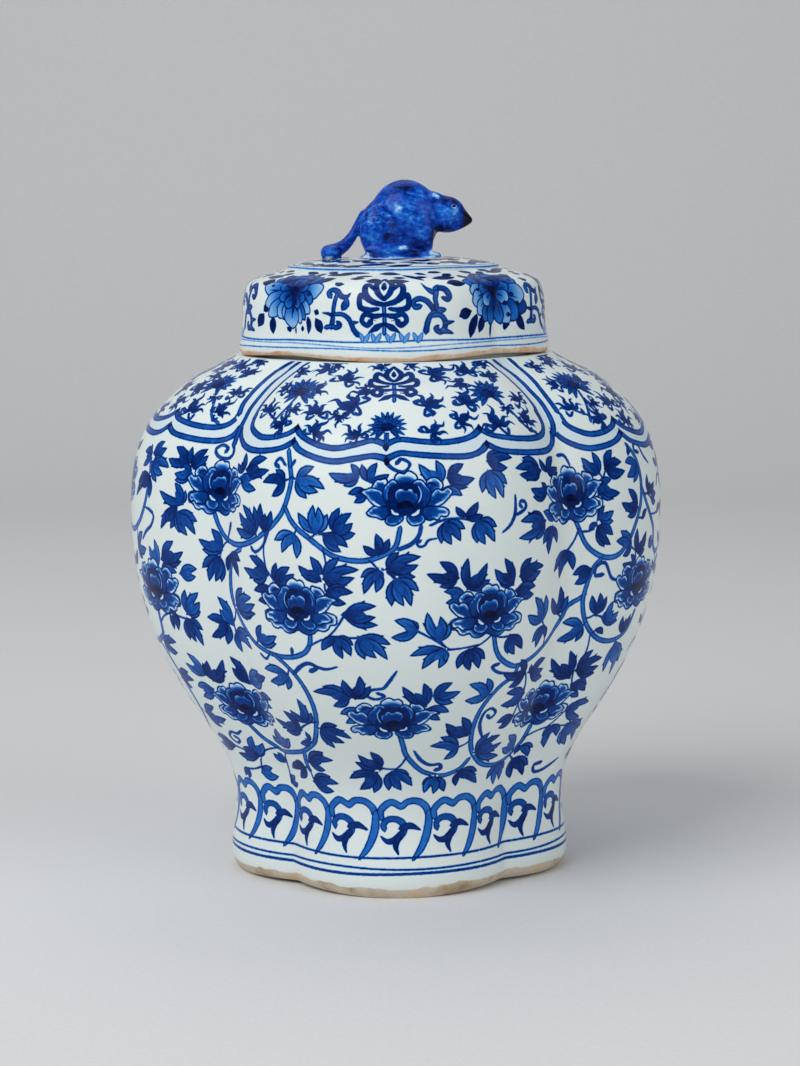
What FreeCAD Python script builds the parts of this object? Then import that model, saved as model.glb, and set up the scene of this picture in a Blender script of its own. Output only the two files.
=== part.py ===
import FreeCAD, Part
import math
import os
from FreeCAD import Vector

# A four-lobed porcelain jar with its cap cover and a crouching rat as the knob.
# Millimetres, +Z up, origin on the table under the middle of the foot.
# The lobes face +X, +Y, -X and -Y, and the rat looks along +X.
# A radius below is measured to the middle of a lobe, and a valley share is
# the radius in the groove between two lobes as a share of it.

# Foot
foot_swell = 3.0
foot_edge_draw_in = 4.0
foot_edge_height = 4.0
foot_roll_height = 12.0
foot_ring_width = 11.0
foot_recess = 6.0
foot_fillet = 6.0
foot_valley_share = 0.87
foot_edge_curve_share = 0.33
foot_hollow_share = 0.50

# Body of the jar
waist_radius = 95.5
waist_height = 37.0
belly_radius = 153.8
belly_height = 212.0
belly_fillet = 25.0
ledge_margin = 3.4
ledge_height = 300.0
ledge_fillet = 12.0
jar_wall = 6.5
floor_thickness = 9.0
floor_rounding = 14.0
floor_curve_shares = [(0.00, 1.00), (0.33, 0.25)]

# Each row: share of the rise, share of the change in radius, valley share
lower_curve_shares = [
    (0.00, 0.00, 0.87),
    (0.13, 0.05, 0.87),
    (0.30, 0.33, 0.87),
    (0.46, 0.62, 0.87),
    (0.62, 0.83, 0.87),
    (0.78, 0.95, 0.87),
    (1.00, 1.00, 0.87),
]
upper_curve_shares = [
    (0.27, 0.03, 0.87),
    (0.51, 0.14, 0.86),
    (0.67, 0.30, 0.86),
    (0.78, 0.47, 0.86),
    (0.87, 0.65, 0.86),
    (0.95, 0.88, 0.88),
    (1.00, 1.00, 0.92),
]

# Neck, an upright collar inside the cover
neck_radius = 79.0
neck_rise = 30.0
neck_wall = 6.0
neck_fillet = 8.0
neck_lip = 1.5
neck_valley_share = 0.90

# Cover, resting on the ledge round the neck
seat_gap = 0.3
neck_clearance = 3.6
rim_lip = 1.2
cover_wall_rise = 38.0
cover_wall_taper = 3.3
cover_thickness = 6.0
cover_fillet = 9.0
cover_valley_share = 0.91
cover_crown_rise = 10.7
cover_crown_draw_in = 22.8
wall_taper_shares = [(0.25, 0.00), (0.60, 0.35), (1.00, 1.00)]
crown_curve_shares = [(0.25, 0.06), (0.46, 0.20), (0.67, 0.46), (0.87, 0.81), (1.00, 1.00)]

# Low domed plinth on the crown, under the rat
plinth_margin = 1.5
plinth_edge = 1.8
plinth_rise = 6.3
plinth_slope = 35.0
plinth_fillet = 6.0
plinth_curve_shares = [(0.00, 0.00), (0.45, 0.28), (0.80, 0.62), (1.00, 1.00)]

# Rat: its size, and rows of share of the length, share of the height at the
# middle, and half-height and half-width as shares of the height and width
rat_rump_x = -20.6
rat_neck_x = 27.5
rat_height = 44.7
rat_width = 36.0
rat_body_shares = [
    (0.000, 0.40, 0.050, 0.070),
    (0.045, 0.36, 0.280, 0.250),
    (0.175, 0.36, 0.445, 0.400),
    (0.370, 0.40, 0.550, 0.480),
    (0.570, 0.44, 0.560, 0.500),
    (0.765, 0.46, 0.510, 0.450),
    (0.910, 0.51, 0.380, 0.370),
    (1.000, 0.55, 0.280, 0.330),
]
rat_head_length = 17.5
rat_head_shares = [
    (0.00, 0.550, 0.280, 0.330),
    (0.20, 0.548, 0.255, 0.315),
    (0.45, 0.540, 0.225, 0.270),
    (0.70, 0.515, 0.170, 0.200),
    (0.90, 0.485, 0.085, 0.110),
    (1.00, 0.470, 0.028, 0.035),
]
ear_x = 25.0
ear_side = 10.6
ear_drop = 8.6
ear_length = 5.6
ear_tallness = 6.4
ear_thickness = 3.4
haunch_x = -7.5
haunch_side = 12.5
haunch_lift = 17.0
haunch_length = 27.0
haunch_tallness = 34.0
haunch_thickness = 15.0
hind_foot_x = -4.0
hind_foot_side = 15.0
hind_foot_length = 25.0
fore_leg_x = 20.5
fore_leg_side = 7.5
fore_leg_rise = 18.0
fore_leg_lean = 2.0
fore_leg_thickness = 8.5
fore_paw_length = 11.0
paw_tallness = 8.0
paw_width = 8.0
tail_root_x = -15.0
tail_root_lift = 25.0
tail_root_thickness = 8.0
tail_tip_thickness = 5.6
curl_x = -34.7
curl_side = -3.0
curl_length = 13.4
curl_width = 12.0
curl_tallness = 11.0
tail_curve_shares = [(0.00, 0.00), (0.33, 0.52), (0.64, 0.82), (1.00, 1.00)]

# Shares of a half turn at which the ovals of an egg-like form stand
egg_turn_shares = [0.06, 0.15, 0.30, 0.50, 0.70, 0.85, 0.94]

# How far a cutting body runs past what it cuts
overrun = 5.0

foot_radius = waist_radius + foot_swell
foot_edge_radius = foot_radius - foot_edge_draw_in
rim_radius = neck_radius + neck_clearance + cover_thickness
ledge_radius = rim_radius + ledge_margin
cover_shoulder_radius = rim_radius - cover_wall_taper
cover_crown_radius = cover_shoulder_radius - cover_crown_draw_in
plinth_radius = cover_crown_radius - plinth_margin
plinth_top_radius = plinth_radius - plinth_slope
waist_rise = belly_height - waist_height
shoulder_rise = ledge_height - belly_height
floor_level = foot_recess + floor_thickness
seat_level = ledge_height + seat_gap
cover_joint_level = seat_level + cover_wall_rise
crown_level = cover_joint_level + cover_crown_rise
plinth_level = crown_level + plinth_rise


def station(height, radius, valley_share, fillet):
    """A level of a lobed form: height, lobe radius, valley radius, valley fillet."""
    return (height, radius, radius * valley_share, fillet)


def lobed_wire(level):
    """The closed four-lobed outline of one level: four lobes joined by fillets."""
    height, radius, valley, fillet = level
    corner = (valley + fillet) / math.sqrt(2)
    lobe = (corner ** 2 + (corner - radius) ** 2 - fillet ** 2) / (2 * (radius + fillet - corner))
    half_turn = math.atan2(corner, corner - radius + lobe)
    reach = radius - lobe + lobe * math.cos(half_turn)
    side = lobe * math.sin(half_turn)
    groove = valley / math.sqrt(2)
    edges = []
    for quarter in range(4):
        cosine, sine = math.cos(quarter * math.pi / 2), math.sin(quarter * math.pi / 2)

        def place(x, y):
            return Vector(x * cosine - y * sine, x * sine + y * cosine, height)

        edges.append(Part.Arc(place(reach, -side), place(radius, 0), place(reach, side)).toShape())
        edges.append(Part.Arc(place(reach, side), place(groove, groove), place(side, reach)).toShape())
    return Part.Wire(edges)


def lobed_solid(levels, ruled=False):
    """A solid through lobed levels, smooth between them unless ruled."""
    return Part.makeLoft([lobed_wire(level) for level in levels], True, ruled)


def curve_levels(shares, low, rise, start_radius, end_radius, start_fillet, end_fillet):
    """The levels that a table of curve shares gives."""
    levels = []
    for rise_share, change_share, valley_share in shares:
        radius = start_radius + (end_radius - start_radius) * change_share
        fillet = start_fillet + (end_fillet - start_fillet) * rise_share
        levels.append(station(low + rise * rise_share, radius, valley_share, fillet))
    return levels


def inset(levels, wall):
    """The same levels moved inwards by the wall, square to the lobe's curve."""
    moved = []
    for index, (height, radius, valley, fillet) in enumerate(levels):
        before = levels[max(index - 1, 0)]
        after = levels[min(index + 1, len(levels) - 1)]
        climb = math.hypot(after[0] - before[0], after[1] - before[1])
        outwards = (after[0] - before[0]) / climb
        upwards = (before[1] - after[1]) / climb
        inwards = wall * outwards
        moved.append((height - wall * upwards, radius - inwards, valley - inwards, fillet + inwards))
    return moved


def between(solid, low, high):
    """The slice of a solid between two heights."""
    half = belly_radius + overrun
    return solid.common(Part.makeBox(2 * half, 2 * half, high - low, Vector(-half, -half, low)))


def jar_levels():
    """The outside of the jar from the table to the ledge."""
    foot = [
        station(0, foot_edge_radius, foot_valley_share, foot_fillet),
        station(foot_edge_height, foot_radius - foot_edge_draw_in * foot_edge_curve_share,
                foot_valley_share, foot_fillet),
        station(foot_roll_height, foot_radius, foot_valley_share, foot_fillet),
        station(foot_roll_height + (waist_height - foot_roll_height) * foot_hollow_share,
                foot_radius - foot_swell * foot_hollow_share, foot_valley_share, foot_fillet),
    ]
    lower = curve_levels(lower_curve_shares, waist_height, waist_rise,
                         waist_radius, belly_radius, foot_fillet, belly_fillet)
    upper = curve_levels(upper_curve_shares, belly_height, shoulder_rise,
                         belly_radius, ledge_radius, belly_fillet, ledge_fillet)
    return foot, lower, upper


def neck_prism(radius, valley, fillet, low, high):
    """An upright lobed prism."""
    return lobed_solid([(low, radius, valley, fillet), (high, radius, valley, fillet)], ruled=True)


def make_jar():
    """Foot, lower body, upper body and neck, meeting on level joints."""
    foot, lower, upper = jar_levels()
    outside = lobed_solid(foot + lower + upper)
    inner = inset(lower + upper, jar_wall)
    corner_height, corner_radius, corner_valley, corner_fillet = inner[0]
    bottom = []
    for rise_share, draw_in_share in floor_curve_shares:
        draw_in = floor_rounding * draw_in_share
        bottom.append((floor_level + floor_rounding * rise_share, corner_radius - draw_in,
                       corner_valley - draw_in, corner_fillet))
    hollow = between(lobed_solid(bottom + inner), floor_level, ledge_height - jar_wall)
    neck_valley = neck_radius * neck_valley_share
    mouth = neck_prism(neck_radius - neck_wall, neck_valley - neck_wall, neck_fillet + neck_wall,
                       ledge_height - jar_wall - overrun, ledge_height + overrun)
    recess_radius = foot_edge_radius - foot_ring_width
    recess_valley = foot_edge_radius * foot_valley_share - foot_ring_width
    recess = neck_prism(recess_radius, recess_valley, foot_fillet + foot_ring_width, -overrun, foot_recess)
    shell = outside.cut(hollow).cut(mouth).cut(recess)
    collar_outside = lobed_solid([
        (ledge_height, neck_radius, neck_valley, neck_fillet),
        (ledge_height + neck_rise - neck_lip, neck_radius, neck_valley, neck_fillet),
        (ledge_height + neck_rise, neck_radius - neck_lip, neck_valley - neck_lip, neck_fillet + neck_lip),
    ], ruled=True)
    bore = neck_prism(neck_radius - neck_wall, neck_valley - neck_wall, neck_fillet + neck_wall,
                      ledge_height - overrun, ledge_height + neck_rise + overrun)
    return {
        "foot": between(shell, 0, waist_height),
        "lower_body": between(shell, waist_height, belly_height),
        "upper_body": between(shell, belly_height, ledge_height),
        "neck": collar_outside.cut(bore),
    }


def make_cover():
    """The cover's wall, its crown and the plinth under the rat."""
    wall = [
        station(seat_level, rim_radius - rim_lip, cover_valley_share, cover_fillet),
        station(seat_level + rim_lip, rim_radius, cover_valley_share, cover_fillet),
    ]
    for rise_share, taper_share in wall_taper_shares:
        radius = rim_radius + (cover_shoulder_radius - rim_radius) * taper_share
        wall.append(station(seat_level + cover_wall_rise * rise_share, radius,
                            cover_valley_share, cover_fillet))
    crown = [wall[-1]]
    for rise_share, draw_in_share in crown_curve_shares:
        radius = cover_shoulder_radius + (cover_crown_radius - cover_shoulder_radius) * draw_in_share
        crown.append(station(cover_joint_level + cover_crown_rise * rise_share, radius,
                             cover_valley_share, cover_fillet))
    wall_hollow = [(height, radius - cover_thickness, valley - cover_thickness, fillet + cover_thickness)
                   for height, radius, valley, fillet in wall[1:]]
    low_hollow = (seat_level - overrun,) + wall_hollow[0][1:]
    crown_hollow = between(lobed_solid(inset(crown, cover_thickness)),
                           cover_joint_level - overrun, crown_level - cover_thickness)
    plinth = [station(crown_level, plinth_radius, cover_valley_share, plinth_fillet)]
    for rise_share, draw_in_share in plinth_curve_shares:
        radius = plinth_radius + (plinth_top_radius - plinth_radius) * draw_in_share
        height = crown_level + plinth_edge + (plinth_rise - plinth_edge) * rise_share
        plinth.append(station(height, radius, cover_valley_share, plinth_fillet))
    return {
        "cover_wall": lobed_solid(wall, ruled=True).cut(lobed_solid([low_hollow] + wall_hollow, ruled=True)),
        "cover_crown": lobed_solid(crown).cut(crown_hollow),
        "plinth": lobed_solid(plinth, ruled=True),
    }


def oval_wire(middle, half_width, half_height, tilt=0):
    """An upright oval of four arcs across the rat's length, leant back by a tilt."""
    def on_oval(quarters):
        turn = quarters * math.pi / 2
        rise = half_height * math.sin(turn)
        return middle + Vector(-rise * math.sin(tilt), half_width * math.cos(turn), rise * math.cos(tilt))

    arcs = []
    for quarter in range(4):
        arcs.append(Part.Arc(on_oval(quarter - 0.5), on_oval(quarter), on_oval(quarter + 0.5)).toShape())
    return Part.Wire(arcs)


def swelling(rows, start_x, length, base):
    """A form that swells and tapers along X, from rows of shares."""
    ovals = []
    for along_share, middle_share, tall_share, wide_share in rows:
        middle = Vector(start_x + length * along_share, 0, base + rat_height * middle_share)
        ovals.append(oval_wire(middle, rat_width * wide_share, rat_height * tall_share))
    return Part.makeLoft(ovals, True, False)


def egg(middle, length, width, height):
    """An egg-like solid by its middle and its full sizes along X, Y and Z."""
    ovals = []
    for turn_share in egg_turn_shares:
        turn = math.pi * turn_share
        at = middle - Vector(length / 2 * math.cos(turn), 0, 0)
        ovals.append(oval_wire(at, width / 2 * math.sin(turn), height / 2 * math.sin(turn)))
    return Part.makeLoft(ovals, True, False)


def make_tail(base):
    """The tail, from the rump down to its rolled tip."""
    rings = []
    drop = tail_root_lift - curl_tallness / 3
    for run_share, drop_share in tail_curve_shares:
        middle = Vector(tail_root_x + (curl_x - tail_root_x) * run_share, curl_side * run_share,
                        base + tail_root_lift - drop * drop_share)
        thickness = tail_root_thickness + (tail_tip_thickness - tail_root_thickness) * run_share
        tilt = math.atan2(drop * (1 - run_share), tail_root_x - curl_x)
        rings.append(oval_wire(middle, thickness / 2, thickness / 2, tilt))
    return Part.makeLoft(rings, True, False)


def make_rat(plinth):
    """The rat, modelled in pieces that are luted together on the plinth."""
    base = plinth_level
    body = swelling(rat_body_shares, rat_rump_x, rat_neck_x - rat_rump_x, base)
    body = between(body, base, base + rat_height)
    head = swelling(rat_head_shares, rat_neck_x, rat_head_length, base)
    curl = egg(Vector(curl_x, curl_side, base + curl_tallness / 2 - plinth_edge),
               curl_length, curl_width, curl_tallness).cut(plinth)
    tail = make_tail(base).cut(body).cut(curl).cut(plinth)
    pieces = {"rat_body": body, "rat_head": head, "rat_tail": tail, "rat_tail_curl": curl}
    for side, name in ((1, "left"), (-1, "right")):
        haunch = egg(Vector(haunch_x, side * haunch_side, base + haunch_lift),
                     haunch_length, haunch_thickness, haunch_tallness)
        sole = egg(Vector(hind_foot_x, side * hind_foot_side, base + paw_tallness / 3),
                   hind_foot_length, paw_width, paw_tallness)
        hind_leg = haunch.fuse(sole).cut(body).cut(plinth)
        shoulder = Vector(fore_leg_x - fore_leg_lean, side * fore_leg_side, base + fore_leg_rise)
        wrist = Vector(fore_leg_x, side * fore_leg_side, base)
        shin = Part.makeCone(fore_leg_thickness / 2, fore_leg_thickness / 3,
                             (wrist - shoulder).Length, shoulder, wrist - shoulder)
        paw = egg(Vector(fore_leg_x + fore_leg_lean, side * fore_leg_side, base + paw_tallness / 4),
                  fore_paw_length, paw_width, paw_tallness)
        fore_leg = shin.fuse(paw).cut(body).cut(hind_leg).cut(plinth)
        ear = egg(Vector(ear_x, side * ear_side, base + rat_height - ear_drop),
                  ear_length, ear_thickness, ear_tallness).cut(body).cut(head)
        pieces["rat_hind_leg_" + name] = hind_leg
        pieces["rat_fore_leg_" + name] = fore_leg
        pieces["rat_ear_" + name] = ear
    return pieces


os.makedirs("parts", exist_ok=True)
pieces = make_jar()
pieces.update(make_cover())
pieces.update(make_rat(pieces["plinth"]))
for name, shape in pieces.items():
    box = shape.BoundBox
    print(name, "solids", len(shape.Solids), "valid", shape.isValid(), "cm3", round(shape.Volume / 1000, 1),
          "x", round(box.XMin, 1), round(box.XMax, 1), "y", round(box.YMin, 1), round(box.YMax, 1),
          "z", round(box.ZMin, 1), round(box.ZMax, 1))
    shape.exportStep("parts/" + name + ".step")
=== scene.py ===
import math

import bpy
import numpy as np
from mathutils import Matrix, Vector


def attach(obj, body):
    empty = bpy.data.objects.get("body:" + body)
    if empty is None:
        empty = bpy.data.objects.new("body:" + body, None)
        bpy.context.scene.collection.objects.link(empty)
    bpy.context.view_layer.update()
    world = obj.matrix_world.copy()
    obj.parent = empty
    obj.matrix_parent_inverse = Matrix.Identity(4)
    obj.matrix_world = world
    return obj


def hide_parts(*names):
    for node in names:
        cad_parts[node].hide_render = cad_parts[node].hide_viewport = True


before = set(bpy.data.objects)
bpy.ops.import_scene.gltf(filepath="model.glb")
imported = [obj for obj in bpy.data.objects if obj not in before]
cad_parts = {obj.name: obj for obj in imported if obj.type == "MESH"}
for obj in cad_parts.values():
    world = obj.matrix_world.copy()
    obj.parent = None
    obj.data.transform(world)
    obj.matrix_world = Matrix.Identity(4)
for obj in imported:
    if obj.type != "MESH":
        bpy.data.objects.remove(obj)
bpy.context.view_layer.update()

# The foot: a thrown porcelain ring, pressed into four lobes, with a recessed base.
# It is painted in cobalt under the glaze with a band of leaf-shaped lappets, and
# its bottom edge is wiped bare, so that the fired clay shows.
mm = 0.001


class Wire:
    """A socket of a node tree. Python sums and products of it add the tree's Math nodes."""

    def __init__(self, tree, socket=None):
        self.tree = tree
        self.socket = socket

    def add(self, kind, settings=None, sockets=None, output=0):
        """Adds a node, gives it its settings and its sockets' values or links, and returns an output."""
        node = self.tree.nodes.new(kind)
        for name, value in (settings or {}).items():
            if name == "stops":
                ramp = node.color_ramp
                while len(ramp.elements) < len(value):
                    ramp.elements.new(0.5)
                for element, (place, colour) in zip(ramp.elements, value):
                    element.position = place
                    element.color = (*colour, 1)
            else:
                setattr(node, name, value)
        for name, value in (sockets or {}).items():
            if isinstance(value, Wire):
                self.tree.links.new(value.socket, node.inputs[name])
            else:
                node.inputs[name].default_value = value
        return Wire(self.tree, node.outputs[output]) if node.outputs else None

    def beside(self, output):
        """Another output of the same node."""
        return Wire(self.tree, self.socket.node.outputs[output])

    def math(self, operation, *values, **settings):
        """A Math node with these values or links."""
        return self.add("ShaderNodeMath", {"operation": operation, **settings}, dict(enumerate(values)))

    def vector(self, operation, *values, output=0):
        """A Vector Math node with these values or links. Output 1 is its plain number."""
        return self.add("ShaderNodeVectorMath", {"operation": operation}, dict(enumerate(values)), output)

    def __add__(self, other):
        return self.math("ADD", self, other)

    __radd__ = __add__

    def __mul__(self, other):
        return self.math("MULTIPLY", self, other)

    __rmul__ = __mul__

    def __sub__(self, other):
        return self.math("SUBTRACT", self, other)

    def __rsub__(self, other):
        return self.math("SUBTRACT", other, self)

    def __truediv__(self, other):
        return self.math("DIVIDE", self, other)

    def clamp(self):
        return self.math("MULTIPLY", self, 1.0, use_clamp=True)

    def size(self):
        return self.math("ABSOLUTE", self)

    def split(self):
        """The first part of a vector. beside(1) and beside(2) give the other two."""
        return self.add("ShaderNodeSeparateXYZ", None, {0: self})

    def noise(self, scale, detail=2.0, rough=0.5):
        """Noise from 0 to 1 at the places that this vector gives, with scale spots to a metre."""
        return self.add("ShaderNodeTexNoise", None, {
            "Vector": self, "Scale": scale, "Detail": detail, "Roughness": rough})

    def ramp(self, stops):
        """The colour that the stops give for this number."""
        return self.add("ShaderNodeValToRGB", {"stops": stops}, {"Fac": self})

    def mix(self, other, factor, blend="MIX"):
        """This colour, turned into another one by a factor."""
        return self.add("ShaderNodeMix", {"data_type": "RGBA", "blend_type": blend}, {
            "Factor": factor, 6: self, 7: other}, 2)


def modelling_tree(name, source, inputs, result):
    """A new Geometry Nodes tree with a source shape, other named inputs and one resulting shape."""
    tree = bpy.data.node_groups.new(name, "GeometryNodeTree")
    for label, kind in [(source, "Geometry")] + inputs:
        tree.interface.new_socket(label, in_out="INPUT", socket_type="NodeSocket" + kind)
    tree.interface.new_socket(result, in_out="OUTPUT", socket_type="NodeSocketGeometry")
    return tree


def lobed_wall_tree():
    """Geometry Nodes: a four-lobed wall that follows the profile given to it."""
    inputs = [("Columns", "Int"), ("Evenness", "Float"), ("Glaze", "Material")]
    tree = modelling_tree("lobed_wall", "Profile", inputs, "Wall")
    start = Wire(tree)
    profile = start.add("NodeGroupInput")
    spans = start.add("GeometryNodeAttributeDomainSize", {"component": "MESH"}, {"Geometry": profile}) - 1
    tube = start.add("GeometryNodeMeshCylinder", {"fill_type": "NONE"}, {
        "Vertices": profile.beside("Columns"), "Side Segments": spans, "Depth": spans})
    place = start.add("GeometryNodeInputPosition").split()
    row = start.math("ROUND", place.beside(2) + spans / 2)

    def along_profile(name):
        """A value of the profile at the row of each point of the tube."""
        value = start.add("GeometryNodeInputNamedAttribute", {"data_type": "FLOAT"}, {"Name": name})
        return start.add("GeometryNodeSampleIndex", {"data_type": "FLOAT", "domain": "POINT"},
                         {"Geometry": profile, "Value": value, "Index": row})

    radius, height = along_profile("radius"), along_profile("height")
    share, fillet, lift = along_profile("share"), along_profile("fillet"), along_profile("lift")
    turn = start.math("ARCTAN2", place.beside(1), place)
    turn = turn - profile.beside("Evenness") * start.math("SINE", turn * 4)
    side = (start.math("FLOORED_MODULO", turn + math.pi / 4, math.pi / 2) - math.pi / 4).size()
    # The lobe's arc and the groove's fillet meet at the angle called limit
    corner = (radius * share + fillet) / math.sqrt(2)
    lobe = (corner * corner + (corner - radius) * (corner - radius) - fillet * fillet) / (
        (radius + fillet - corner) * 2)
    middle = radius - lobe
    edge = start.math("ARCTAN2", corner, corner - middle)
    limit = start.math(
        "ARCTAN2", lobe * start.math("SINE", edge), middle + lobe * start.math("COSINE", edge))
    across = middle * start.math("SINE", side)
    on_lobe = middle * start.math("COSINE", side) + start.math("SQRT", lobe * lobe - across * across)
    reach = corner * math.sqrt(2)
    away = math.pi / 4 - side
    off = reach * start.math("SINE", away)
    in_groove = reach * start.math("COSINE", away) - start.math("SQRT", fillet * fillet - off * off)
    out = on_lobe + (in_groove - on_lobe) * start.math("GREATER_THAN", side, limit)
    raised = height + lift * (1 - start.math("COSINE", side * 4)) / 2
    moved = start.add("ShaderNodeCombineXYZ", None, {
        0: out * start.math("COSINE", turn), 1: out * start.math("SINE", turn), 2: raised})
    wall = start.add("GeometryNodeStoreNamedAttribute", {"data_type": "FLOAT", "domain": "POINT"},
                     {"Geometry": tube, "Name": "row", "Value": start.math("FLOORED_MODULO", row, spans)})
    wall = start.add("GeometryNodeSetPosition", None, {"Geometry": wall, "Position": moved})
    wall = start.add("GeometryNodeMergeByDistance", None, {"Geometry": wall, "Distance": 0.001 * mm})
    wall = start.add("GeometryNodeRealizeInstances", None, {"Geometry": wall})
    wall = start.add("GeometryNodeSetMaterial", None, {
        "Geometry": wall, "Material": profile.beside("Glaze")})
    start.add("NodeGroupOutput", None, {"Wall": wall})
    return tree


lobed_wall = lobed_wall_tree()


def placed(name, data):
    """A new object that shows this mesh, lamp or camera, at the origin."""
    piece = bpy.data.objects.new(name, data)
    bpy.context.scene.collection.objects.link(piece)
    return piece


def made_mesh(mesh, name, tree, **values):
    """The mesh that a Geometry Nodes tree makes from a mesh, as a new plain object."""
    source = placed(name, mesh)
    modifier = source.modifiers.new(name, "NODES")
    modifier.node_group = tree
    for item in tree.interface.items_tree:
        if item.in_out == "INPUT" and item.name in values:
            modifier[item.identifier] = values[item.name]
    bpy.context.view_layer.update()
    made = bpy.data.meshes.new_from_object(source.evaluated_get(bpy.context.evaluated_depsgraph_get()))
    bpy.data.objects.remove(source)
    made.name = name
    return placed(name, made)


wall_columns = 600
groove_evenness = 0.05


def lobed_piece(name, rows, glaze, columns=wall_columns):
    """A lobed piece through rows of radius, height, valley share, fillet and lift, in mm."""
    rows = np.array(rows, float)
    profile = bpy.data.meshes.new("profile")
    profile.from_pydata([(0, 0, 0)] * len(rows), [], [])
    for index, attribute in enumerate(["radius", "height", "share", "fillet", "lift"]):
        layer = profile.attributes.new(attribute, "FLOAT", "POINT")
        layer.data.foreach_set("value", rows[:, index] * (1 if attribute == "share" else mm))
    return made_mesh(profile, name, lobed_wall, Columns=columns, Evenness=groove_evenness, Glaze=glaze)


# Stations up the outside of the jar: radius, height, how far the grooves reach in as a
# share of the radius, and the grooves' fillet, in mm
jar_stations = np.array([
    (94.5, 0, 0.87, 6), (97.17, 4, 0.87, 6), (98.5, 12, 0.87, 6),
    (97, 24.5, 0.87, 6), (95.5, 37, 0.87, 6), (98.42, 59.75, 0.87, 8.5),
    (114.74, 89.5, 0.87, 11.7), (131.65, 117.5, 0.87, 14.7), (143.89, 145.5, 0.87, 17.8),
    (150.89, 173.5, 0.87, 20.8), (153.8, 212, 0.87, 25), (151.95, 235.76, 0.87, 21.5),
    (145.15, 256.88, 0.86, 18.4), (135.26, 270.96, 0.86, 16.3), (124.75, 280.64, 0.86, 14.9),
    (113.63, 288.56, 0.86, 13.7), (99.42, 295.6, 0.88, 12.7), (92, 300, 0.92, 12),
])
waist, belly = 4, 10


def natural_curve(knots, values, places):
    """The natural cubic curve through values at knots, read at places."""
    count = len(knots)
    gaps = np.diff(knots)
    matrix, right = np.eye(count), np.zeros(count)
    for i in range(1, count - 1):
        matrix[i, i - 1:i + 2] = gaps[i - 1], 2 * (gaps[i - 1] + gaps[i]), gaps[i]
        right[i] = 6 * ((values[i + 1] - values[i]) / gaps[i] - (values[i] - values[i - 1]) / gaps[i - 1])
    bend = np.linalg.solve(matrix, right)
    i = np.clip(np.searchsorted(knots, places) - 1, 0, count - 2)
    step, gap = places - knots[i], gaps[i]
    slope = (values[i + 1] - values[i]) / gap - gap * (2 * bend[i] + bend[i + 1]) / 6
    cubic = step ** 3 * (bend[i + 1] - bend[i]) / (6 * gap)
    return values[i] + step * slope + step ** 2 * bend[i] / 2 + cubic


def lengths_up(stations):
    """How far along its curve each station lies, in mm from the first."""
    return np.concatenate([[0], np.cumsum(np.hypot(*np.diff(stations[:, :2], axis=0).T))])


jar_knots = lengths_up(jar_stations)


def jar_rows(along):
    """The rows of the jar's outside at distances along its curve up the middle of a lobe."""
    radius, height = (natural_curve(jar_knots, jar_stations[:, i], along) for i in (0, 1))
    share, fillet = (np.interp(along, jar_knots, jar_stations[:, i]) for i in (2, 3))
    return np.column_stack([radius, height, share, fillet, np.zeros(len(along))])


def off_azimuth(azimuth, middle):
    """Degrees from a middle azimuth to others, the short way round."""
    return (azimuth - middle + 180) % 360 - 180


def read(collection, name, width=1):
    """A number, or width numbers, for each item of a part of a mesh."""
    kind = np.int32 if name in ("vertex_index", "loop_total") else np.float32
    values = np.zeros(len(collection) * width, kind)
    collection.foreach_get(name, values)
    return values if width == 1 else values.reshape(-1, width)


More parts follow.
